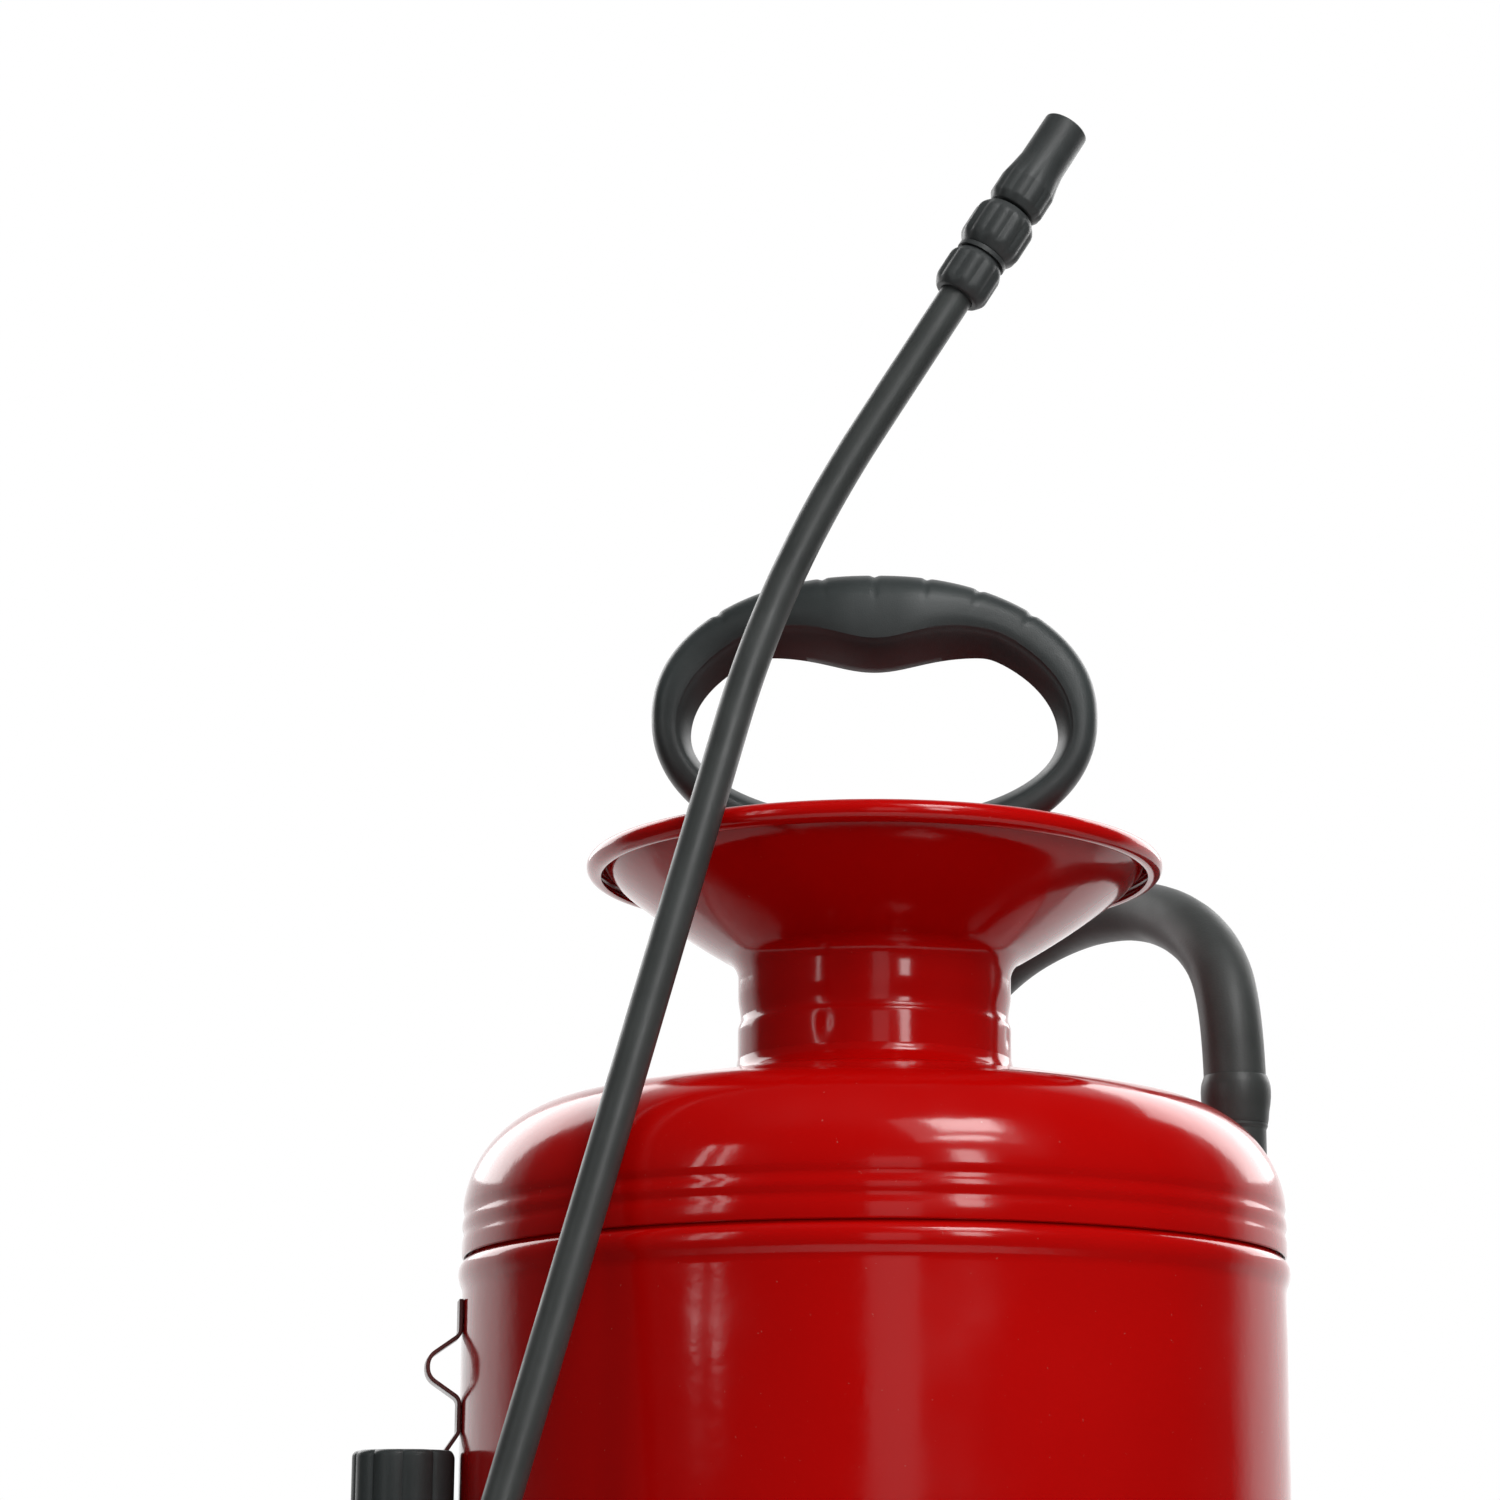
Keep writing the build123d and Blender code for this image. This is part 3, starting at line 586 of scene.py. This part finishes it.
def arc_through(a, b, c, steps):
    """Points of the arc from a through b to c."""
    (ax, ay), (bx, by), (cx, cy) = a, b, c
    d = 2 * (ax * (by - cy) + bx * (cy - ay) + cx * (ay - by))
    aa, bb, cc = ax * ax + ay * ay, bx * bx + by * by, cx * cx + cy * cy
    ux = (aa * (by - cy) + bb * (cy - ay) + cc * (ay - by)) / d
    uy = (aa * (cx - bx) + bb * (ax - cx) + cc * (bx - ax)) / d
    radius = math.hypot(ax - ux, ay - uy)
    start = math.degrees(math.atan2(ay - uy, ax - ux))
    end = math.degrees(math.atan2(cy - uy, cx - ux))
    return arc((ux, uy), radius, start, end, steps)


bead = [
    (TANK_R, SEAM_Z - 9.0), (TANK_R + 0.05, SEAM_Z - 8.0), (TANK_R + 0.3, SEAM_Z - 7.0),
    (TANK_R + 0.75, SEAM_Z - 5.8), (BEAD_R - 0.05, SEAM_Z - 4.6), (BEAD_R, SEAM_Z - 3.4),
    (BEAD_R - 0.15, SEAM_Z - 2.3), (BEAD_R - 0.7, SEAM_Z - 1.2), (BEAD_R - 1.5, SEAM_Z - 0.5),
    (BEAD_R - 1.95, SEAM_Z + 0.3), (BEAD_R - 2.05, SEAM_Z + 1.4), (BEAD_R - 2.05, SEAM_Z + 13),
]
shell_line = [(TANK_R, 1.6), (TANK_R, 2.4), (TANK_R, 120), (TANK_R, 260), (TANK_R, 380)] + bead
piece("shell_skin", *lathe(sheet(shell_line), around=180), "tank", "red_steel", ["tank_shell"])

# The rolled sheet's welded edge, down the back of the shell
WELD_SECTION = ((-1, 0), (-0.8, 0.62), (-0.45, 0.9), (0, 1), (0.45, 0.9), (0.8, 0.62), (1, 0))
weld_angle = math.radians(78)
weld_out = Vector((math.cos(weld_angle), math.sin(weld_angle), 0))
weld_across = Vector((-weld_out.y, weld_out.x, 0))
weld_rings = []
for i in range(178):
    height = 22 + i * 2.08
    ripple = 0.05 * math.sin(i * 1.9)
    ring = []
    for side, up in WELD_SECTION:
        out = weld_out * (TANK_R - 0.6 + (0.95 + ripple) * up)
        ring.append(out + weld_across * (2.1 * side) + Vector((0, 0, height)))
    weld_rings.append(ring)
piece("shell_weld", *skin(weld_rings), "tank", "red_steel")

# Domed head, with its pressed ridges and a soldered fillet at the neck
ridges = [
    (SKIRT_R - 0.5, SEAM_Z + 0.2), (SKIRT_R - 0.1, SEAM_Z + 0.45), (SKIRT_R, SEAM_Z + 0.9),
    (SKIRT_R, SEAM_Z + 3.6), (SKIRT_R - 0.12, SEAM_Z + 4.6), (SKIRT_R - 0.4, SEAM_Z + 5.6),
    (SKIRT_R - 0.32, SEAM_Z + 6.4), (SKIRT_R - 0.02, SEAM_Z + 7.4), (SKIRT_R, SEAM_Z + 8.4),
    (SKIRT_R - 0.2, SEAM_Z + 9.4), (SKIRT_R - 0.5, SEAM_Z + 10.4), (SKIRT_R - 0.42, SEAM_Z + 11.2),
    (SKIRT_R - 0.15, SEAM_Z + 12.2), (SKIRT_R - 0.18, SEAM_Z + 13.2),
]
shoulder = arc(KNUCKLE, KNUCKLE_R, 8, 77.5, 26)
crown = arc_through(shoulder[-1], (57.5, 442.4), (40.0, 445.45), 14)
fillet_line = [(38.2, 445.9), (36.6, 446.6), (35.5, 447.6), (34.8, 449.0), (34.5, 450.6)]
dome_line = ridges + shoulder + crown[1:] + fillet_line
piece("dome_skin", *lathe(sheet(dome_line), around=180), "tank", "red_steel", ["tank_dome"])

# Funnel: grooved neck with four stake marks, bowl, and a rim curled outwards and under
neck = [
    (NECK_R, 442.5), (NECK_R, 446.0), (NECK_R, 449.0), (NECK_R, 451.0), (NECK_R, 452.5),
    (NECK_R, 453.6), (NECK_R, 454.7), (NECK_R, 455.8), (NECK_R, 456.9), (NECK_R, 458.0),
    (NECK_R - 0.05, 458.9), (NECK_R - 0.3, 459.6), (NECK_R - 0.62, 460.4), (NECK_R - 0.7, 461.4),
    (NECK_R - 0.62, 462.6), (NECK_R - 0.42, 463.8), (NECK_R - 0.2, 465.0), (NECK_R - 0.05, 466.2),
    (NECK_R, 467.4), (NECK_R, 470.0), (NECK_R, 472.0),
]
flare = arc_through((NECK_R, 472.0), (35.6, 475.2), (38.6, 477.5), 8)
bowl = arc_through((38.6, 477.5), (51.4, 485.6), (62.4, 493.6), 16)
lip = [(64.0, 494.9), (65.2, 496.1), (66.3, 497.4), (67.5, 498.9)]
curl = arc(RIM, RIM_ROLL_R - SHEET, 150, -112, 34)
funnel_line = neck + flare[1:] + bowl[1:] + lip + curl
STAKES = [math.radians(a) for a in (-110.4, -15.0, 72.0, 160.0)]


def staked(angle, radius, height):
    """Dent the neck where the threaded ring is staked."""
    if not 450 < height < 462 or radius > 36:
        return radius, height
    for stake in STAKES:
        off = (angle - stake + math.pi) % TAU - math.pi
        radius -= 0.35 * math.exp(-((off * NECK_R / 2.1) ** 2) - ((height - 455.8) / 3.0) ** 2)
    return radius, height


piece(
    "funnel_skin", *lathe(sheet(funnel_line), around=256, reshape=staked),
    "tank", "red_steel", ["funnel"], sharp=50,
)

foot_outline = soften(
    [(92.7, 0), (102.85, 0), (102.85, 20), (101.65, 20), (101.65, 1.5), (92.7, 1.5)],
    [0.5, 1.6, 0.5, 0.3, 0.4, 0.5],
)
piece("foot_rim", *lathe(foot_outline, around=160), "tank", "red_steel", ["foot_ring"])

# Outlet: a black boot over the stub, and a crimped sleeve round the hose
boot = soften(
    [(0, 414), (4.6, 414), (4.6, 424), (7.6, 426), (7.6, 436.0), (8.0, 436.8),
     (8.0, HOSE_START_Z), (0, HOSE_START_Z)],
    [0, 0.4, 0.8, 0.6, 0.4, 0.3, 0, 0], closed=False,
)
piece(
    "outlet_boot", *lathe(boot, outlet, 40, closed=False),
    "tank", "crimped_ferrule", ["outlet_boss"],
)
sleeve = [
    (8.04, 437.6), (8.25, 438.4), (8.45, 440.6), (8.75, 442.4), (8.95, 444.2), (8.98, 445.8),
    (8.9, 447.2), (8.7, 448.2), (8.4, 449.0), (8.2, 449.6), (8.04, 449.9),
]
piece("hose_sleeve", *lathe(sleeve, outlet, 48), "tank", "crimped_ferrule", ["hose_ferrule"])

# ---------------------------------------------------------------- nozzle holster

strip_line = soften(
    [(STRIP_TAB_R, 389.5), (STRIP_TAB_R, 381.0), (STRIP_BOW_R, 375.5), (STRIP_BOW_R, 370.9),
     (STRIP_TAB_R, 365.6), (STRIP_TAB_R, 357.5), (STRIP_TONGUE_R, 352.0), (STRIP_TONGUE_R, 298.0)],
    [0, 2.6, 4.2, 4.2, 2.6, 1.6, 1.6, 0], closed=False, steps=8,
)
strip_path = [holster @ Vector((r, 0, z)) for r, z in strip_line]
strip_side = holster.to_3x3() @ Vector((0, 1, 0))
strip_section = rounded_box(STRIP_WIDTH, STRIP_THICKNESS, 0.3, 3)
piece(
    "holster_strip", *sweep(strip_path, strip_section, side=strip_side),
    "tank", "bracket_steel", ["holster_bracket"],
)


def carve(base, tool, operation):
    """Join the tool to a bare mesh, or cut it out, and then remove the tool."""
    step = base.modifiers.new("step", "BOOLEAN")
    step.operation = operation
    step.solver = "EXACT"
    step.object = tool
    shaped = base.evaluated_get(bpy.context.evaluated_depsgraph_get())
    base.data = bpy.data.meshes.new_from_object(shaped)
    base.modifiers.clear()
    bpy.data.objects.remove(tool)


cup_place = holster @ Matrix.Translation((CUP_CENTRE_R, 0, 0))
cup_outline = soften(
    [(2.8, 293), (11.4, 293), (13.0, 296.5), (13.0, CUP_TOP), (9.3, CUP_TOP), (8.6, CUP_TOP - 2.5),
     (8.3, 297.5), (2.8, 296)],
    [0.3, 1.2, 2.0, 1.7, 0.5, 1.0, 0.8, 0.3], steps=6,
)


def fluted(angle, radius, height):
    """Ten broad flutes down the outside of the cup, faded out at its rim."""
    if radius < 9.8:
        return radius, height
    fade = smooth_step(radius, 9.8, 12.6)
    wave = abs(math.cos(5 * (angle + 0.12))) ** 0.7
    return radius - 0.95 * fade * (1 - wave) - 0.02, height


cup = raw("cup_moulding", *lathe(cup_outline, cup_place, 160, reshape=fluted))
# The channel down the cup's back, which the strip's tongue lies in
channel = [(98.7, -4.9), (106.7, -4.9), (106.7, 4.9), (98.7, 4.9)]
carve(cup, raw("channel", *extrude(channel, holster, 290, 360, 0.2)), "DIFFERENCE")
finish_piece(cup, "tank", "black_plastic", ["holster_cup"])

# ---------------------------------------------------------------- pump

plug = soften(
    [(22.05, 451), (29.05, 451), (29.05, HEAD_Z), (32.4, HEAD_Z), (32.4, HEAD_Z + 5),
     (19, HEAD_Z + 6.5), (17, HEAD_Z + 14), (9.0, HEAD_Z + 14), (9.0, HEAD_Z + 8),
     (5.5, HEAD_Z + 8), (5.5, HEAD_Z + 3), (22.05, HEAD_Z + 3)],
    [0.3, 0.5, 0.3, 0.5, 1.4, 2.4, 1.6, 0.6, 0.2, 0.2, 0.2, 0.2],
)
plug_lobes = lobes(24, 0.5, HEAD_Z + 0.2, HEAD_Z + 4.9, 1.2, 31.2, 0.6)
plug_parts = [lathe(plug, reshape=plug_lobes)]
for k in range(4):
    wing_turn = Matrix.Rotation(math.radians(45 + 90 * k), 4, "Z")
    wing = soften([(15.5, -2.2), (26.5, -2.2), (26.5, 2.2), (15.5, 2.2)], [0, 1.8, 1.8, 0])
    plug_parts.append(extrude(wing, wing_turn, HEAD_Z + 3.5, HEAD_Z + 12, 0.9))
piece("pump_plug", *together(*plug_parts), "pump", "black_plastic", ["pump_head"])

# Finger notches across the top of the handle, and the handle's ring and opening
GROOVES = [12.3 * k for k in range(-3, 4)]
RING_POWER = 2.15
RING_CENTRE_Z = 540
RING_HALF = (57.2, 37)
OPENING_CENTRE_Z = 535
OPENING_HALF_WIDTH = 47.0
OPENING_ABOVE = 26.9
OPENING_BELOW = 21.4
PALM_Z = 556.2


def handle_section(half, depth, crease):
    """Half of the handle's section, (outward, depth), from its outer edge to its inner one.

    The front face ends in a crease, and the surface below it turns in towards the opening.
    """
    made = []
    for j in range(11):
        u = math.radians(9 * j)
        made.append((half * math.cos(u) ** 0.85, depth * math.sin(u) ** 0.85))
    for share in (0.25, 0.5, 0.72, 0.9, 1.0):
        made.append((-half * crease * share, depth * (1 - 0.06 * share**2)))
    lip = depth * 0.94 - 0.35
    made.append((-half * crease - 0.2, lip))
    for k in range(1, 9):
        share = k / 8
        inset = half * (crease + (1 - crease) * share) + 0.2 * (1 - share)
        made.append((-inset, lip * (1 - share**1.5)))
    return made


def handle_ring():
    """The D-shaped grip: an oval ring that swells into a palm rest across its top."""
    rings = []
    steps = 660
    for i in range(steps):
        t = TAU * i / steps
        c, s = math.cos(t), math.sin(t)
        k = (abs(c) ** RING_POWER + abs(s) ** RING_POWER) ** (-1 / RING_POWER)
        outer = Vector((RING_HALF[0] * c * k, RING_CENTRE_Z + RING_HALF[1] * s * k))
        opening_height = OPENING_ABOVE if s > 0 else OPENING_BELOW
        inner = Vector((OPENING_HALF_WIDTH * c, OPENING_CENTRE_Z + opening_height * s))
        if s > 0:
            palm = PALM_Z - 4.2 * math.exp(-((inner.x / 15) ** 2))
            gap = inner.y - palm
            inner.y = (inner.y + palm - math.sqrt(gap * gap + 1.2)) / 2
        top = smooth_step(s, 0.0, 0.35)
        middle = (outer + inner) / 2
        normal = (outer - inner).normalized()
        half = (outer - inner).length / 2
        depth = 5.9 + 8.1 * top * smooth_step(52 - abs(middle.x), 4, 46)
        crease = 0.29 + 0.25 * top * math.exp(-((middle.x / 17) ** 2))
        dent = top * sum(math.exp(-(((middle.x - g) / 0.75) ** 2)) for g in GROOVES)
        front = []
        for a, b in handle_section(half, depth, crease):
            a -= 0.5 * dent * smooth_step(a / half, 0.05, 0.6)
            at = middle + normal * a
            front.append((at.x, b, at.y))
        ring = front + [(x, -y, z) for x, y, z in front[-2:0:-1]]
        rings.append([Vector(p) for p in ring])
    return skin(rings, closed=True)


hub = soften(
    [(0, 509.5), (8.5, 509), (11.6, 504), (12.5, 498), (12.5, 484.6), (5.1, 484.6),
     (5.1, 503.05), (0, 503.05)],
    [0, 2.0, 3.0, 3.0, 1.4, 0.4, 0.2, 0], closed=False,
)
handle = raw("handle_grip", *handle_ring())
carve(handle, raw("hub", *lathe(hub, around=64, closed=False)), "UNION")
finish_piece(handle, "plunger", "black_plastic", ["pump_handle"], sharp=40)

# ---------------------------------------------------------------- lance valve

across = place_at(FOOT, lance_y, lance_x)


def grip_rings():
    """The outside of the valve's grip: a rounded square with finger grooves, closed at its ends.

    No hole is cut in it for the stem, nor in the lever or the catch for their pins.
    """
    rings = []
    levels = [GRIP_START_S, GRIP_START_S + 0.4, GRIP_START_S + 1.4]
    levels += [22.5 + 0.75 * k for k in range(181)]
    levels += [GRIP_END_S - 0.4, GRIP_END_S]
    for s in levels:
        end = max(1 - (s - GRIP_START_S) / 2.4, 0) + max(1 - (GRIP_END_S - s) / 2.4, 0)
        draw = 1.5 * end * end
        if 36 < s < 122:
            draw += 0.35 * (0.5 + 0.5 * math.cos(TAU * s / 5.0)) ** 2
        waist = 0.5 * math.sin(math.pi * min(max((s - 30) / 100, 0), 1)) ** 2
        width, depth = 22.4 - 2 * draw, 22.0 - 2 * draw - 2 * waist
        section = rounded_box(width, depth, 7 - draw, 6)
        rings.append([lance @ Vector((x, y, s)) for x, y in section])
    return skin(rings)


def ears(x, s, inner, outer, half_height):
    """Two ears with rounded ends that hold a cross pin."""
    made = []
    low, high = -s - half_height, -s + half_height
    outline = [(8.5, low), (x + 4.6, low), (x + 4.6, high), (8.5, high)]
    outline = soften(outline, [0, half_height * 0.98, half_height * 0.98, 0], steps=7)
    for near, far in ((-outer, -inner), (inner, outer)):
        made.append(extrude(outline, across, near, far, 0.4))
    return made


stem_place = place_at(FOOT + lance_z * STEM_S, lance_x, lance_y)
stem_ring = soften([(5.5, 9.5), (8.2, 9.5), (8.2, 11.9), (5.5, 11.9)], 0.6)
spigot_outlines = (
    soften([(0, 5), (8.5, 5), (8.5, 22), (0, 22)], [0, 0.6, 0, 0], closed=False),
    soften([(0, 157), (9, 157), (9, 171), (0, 171)], [0, 0, 0.6, 0], closed=False),
)
spigots = [lathe(outline, lance, 48, closed=False) for outline in spigot_outlines]
piece(
    "valve_grip",
    *together(
        grip_rings(),
        *ears(PIVOT_OUT, PIVOT_S, 6.3, 9.0, 5.5),
        *ears(CATCH_OUT, CATCH_S, 5.3, 8.0, 5.0),
        lathe(stem_ring, stem_place, 48), *spigots,
    ),
    "lance", "black_plastic", ["valve_body"], sharp=40,
)

# The lever's outline: its inner side, its ridged finger side, and the end at the pivot
finger_rest = []
for k in range(61):
    share = k / 60
    fade = smooth_step(share, 0.02, 0.1) * smooth_step(1 - share, 0.02, 0.1)
    ridge = 0.35 * math.sin(math.pi * share * 14) ** 2 * fade
    finger_rest.append((39.4 - 18.2 * share - ridge, -48.5 - 86 * share))
lever = soften(
    [(12.4, -156.5), (15.3, -147.5), (15.3, -136), (33, -46), (36, -42), (41, -43)],
    3.0, closed=False,
)
lever += finger_rest
lever += soften([(21, -136), (20.5, -152), (18, -157.2), (14, -158)], 1.5, closed=False)
piece(
    "trigger_lever", *extrude(lever, across, -6.0, 6.0, 1.0),
    "trigger_lever", "black_plastic", ["trigger"], sharp=44,
)

catch = soften(
    [(13.3, -30.2), (17.7, -30.2), (17.9, -7), (21.5, -6), (21.5, -3.5), (14.1, -3.5)],
    [2.1, 2.1, 1.5, 0.8, 1.0, 2.0],
)
piece(
    "catch_flip", *extrude(catch, across, -5.0, 5.0, 0.7),
    "catch", "black_plastic", ["trigger_catch"],
)

hose_nut_outline = soften(
    [(8.6, 3), (10.2, 3), (11.2, 4.4), (11.2, 19.4), (8.6, 19.4)], [0.3, 0.6, 1.4, 1.2, 0.3]
)
hose_nut_lobes = lobes(12, 0.8, 3.4, 19.2, 1.8, 10.0, 0.55)
piece(
    "hose_nut_skin", *lathe(hose_nut_outline, lance, reshape=hose_nut_lobes),
    "hose_clamp_nut", "black_plastic", ["hose_nut"],
)
wand_nut_outline = soften(
    [(9.1, 159.6), (11.6, 159.6), (11.6, 175.5), (8.6, 181), (4.36, 181), (4.36, 173.5),
     (9.1, 173.5)],
    [0.3, 1.4, 2.5, 1.4, 0.3, 0.2, 0.2],
)
wand_nut_lobes = lobes(12, 0.8, 159.8, 176, 2.0, 10.0, 0.55)
piece(
    "wand_nut_skin", *lathe(wand_nut_outline, lance, reshape=wand_nut_lobes),
    "wand_clamp_nut", "black_plastic", ["wand_nut"],
)

# ---------------------------------------------------------------- wand and nozzle


def bent_path(start, corner, end, radius, steps):
    """Two straight runs and the arc between them, as closely spaced points."""
    back, ahead = (start - corner).normalized(), (end - corner).normalized()
    half = back.angle(ahead) / 2
    reach = radius / math.tan(half)
    centre = corner + (back + ahead).normalized() * (radius / math.sin(half))
    first, last = corner + back * reach, corner + ahead * reach
    made = [start.lerp(first, k / 12) for k in range(12)]
    from_centre, to_centre = (first - centre).normalized(), (last - centre).normalized()
    for k in range(steps + 1):
        made.append(centre + from_centre.slerp(to_centre, k / steps) * radius)
    return made + [last.lerp(end, k / 8) for k in range(1, 9)]


wand_start = FOOT + lance_z * WAND_START_S
wand_end = nozzle.translation + nozzle_axis * 8
wand_path = bent_path(wand_start, BEND, wand_end, WAND_BEND_R, 36)
piece(
    "wand_skin", *sweep(wand_path, circle(WAND_R, 32), side=(0, -1, 0)),
    "lance", "wand_plastic", ["wand_tube"],
)
small_nut = soften(
    [(4.36, 0), (5.7, 0), (7.3, 2.0), (7.3, 9.6), (5.9, 11.7), (5.7, 11.7), (5.7, 3), (4.36, 3)],
    [0.3, 1.2, 3.2, 3.2, 0.1, 0.1, 0.2, 0.2],
)
small_nut_lobes = lobes(10, 0.5, 0.4, 11.4, 2.4, 6.2, 0.6)
piece(
    "wand_end_nut_skin", *lathe(small_nut, nozzle, 120, reshape=small_nut_lobes),
    "wand_tip_nut", "nozzle_plastic", ["wand_end_nut"],
)
big_nut = soften(
    [(5.7, 13.3), (6.2, 13.3), (8.1, 15.8), (8.1, 24.0), (6.2, 26.5), (4.1, 26.5), (4.1, 24.7),
     (5.7, 24.7)],
    [0.2, 1.2, 3.6, 3.6, 1.2, 0.3, 0.2, 0.2],
)
big_nut_lobes = lobes(12, 0.5, 13.8, 26.0, 2.8, 6.6, 0.6)
piece(
    "nozzle_nut_skin", *lathe(big_nut, nozzle, reshape=big_nut_lobes),
    "nozzle_clamp_nut", "nozzle_plastic", ["nozzle_nut"],
)
tip_outline = soften(
    [(4.05, 27.2), (6.0, 27.2), (7.3, 29.2), (7.3, 35.0), (6.5, 38.6), (6.0, 42.0),
     (5.9, NOZZLE_LENGTH), (4.6, NOZZLE_LENGTH), (3.6, 53.8), (2.2, 52), (0.8, 51.5), (0.8, 50.6),
     (2.4, 50.6), (4.05, 46.5), (4.05, 30.6), (5.2, 30.6), (5.2, 29.0), (4.05, 29.0)],
    [0.3, 0.8, 1.4, 2.0, 3.0, 3.0, 1.0, 0.5, 0.4, 0.5, 0.1, 0.1, 0.3, 0.5, 0.1, 0.1, 0.1, 0.1],
)
tip_lobes = lobes(12, 0.3, 27.6, 37.4, 1.8, 6.4, 0.6)
piece(
    "nozzle_tip_skin", *lathe(tip_outline, nozzle, reshape=tip_lobes),
    "spray_tip", "nozzle_plastic", ["nozzle_tip"],
)

# ---------------------------------------------------------------- CAD nodes that stay

for entry in frame["record"]["subparts"]:
    node = frame["nodes"][entry["node"]]
    for held in node.material_slots:
        held.material = SURFACES[entry["material_slot"]]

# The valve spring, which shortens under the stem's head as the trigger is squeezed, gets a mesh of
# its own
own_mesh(frame["nodes"]["valve_spring"])
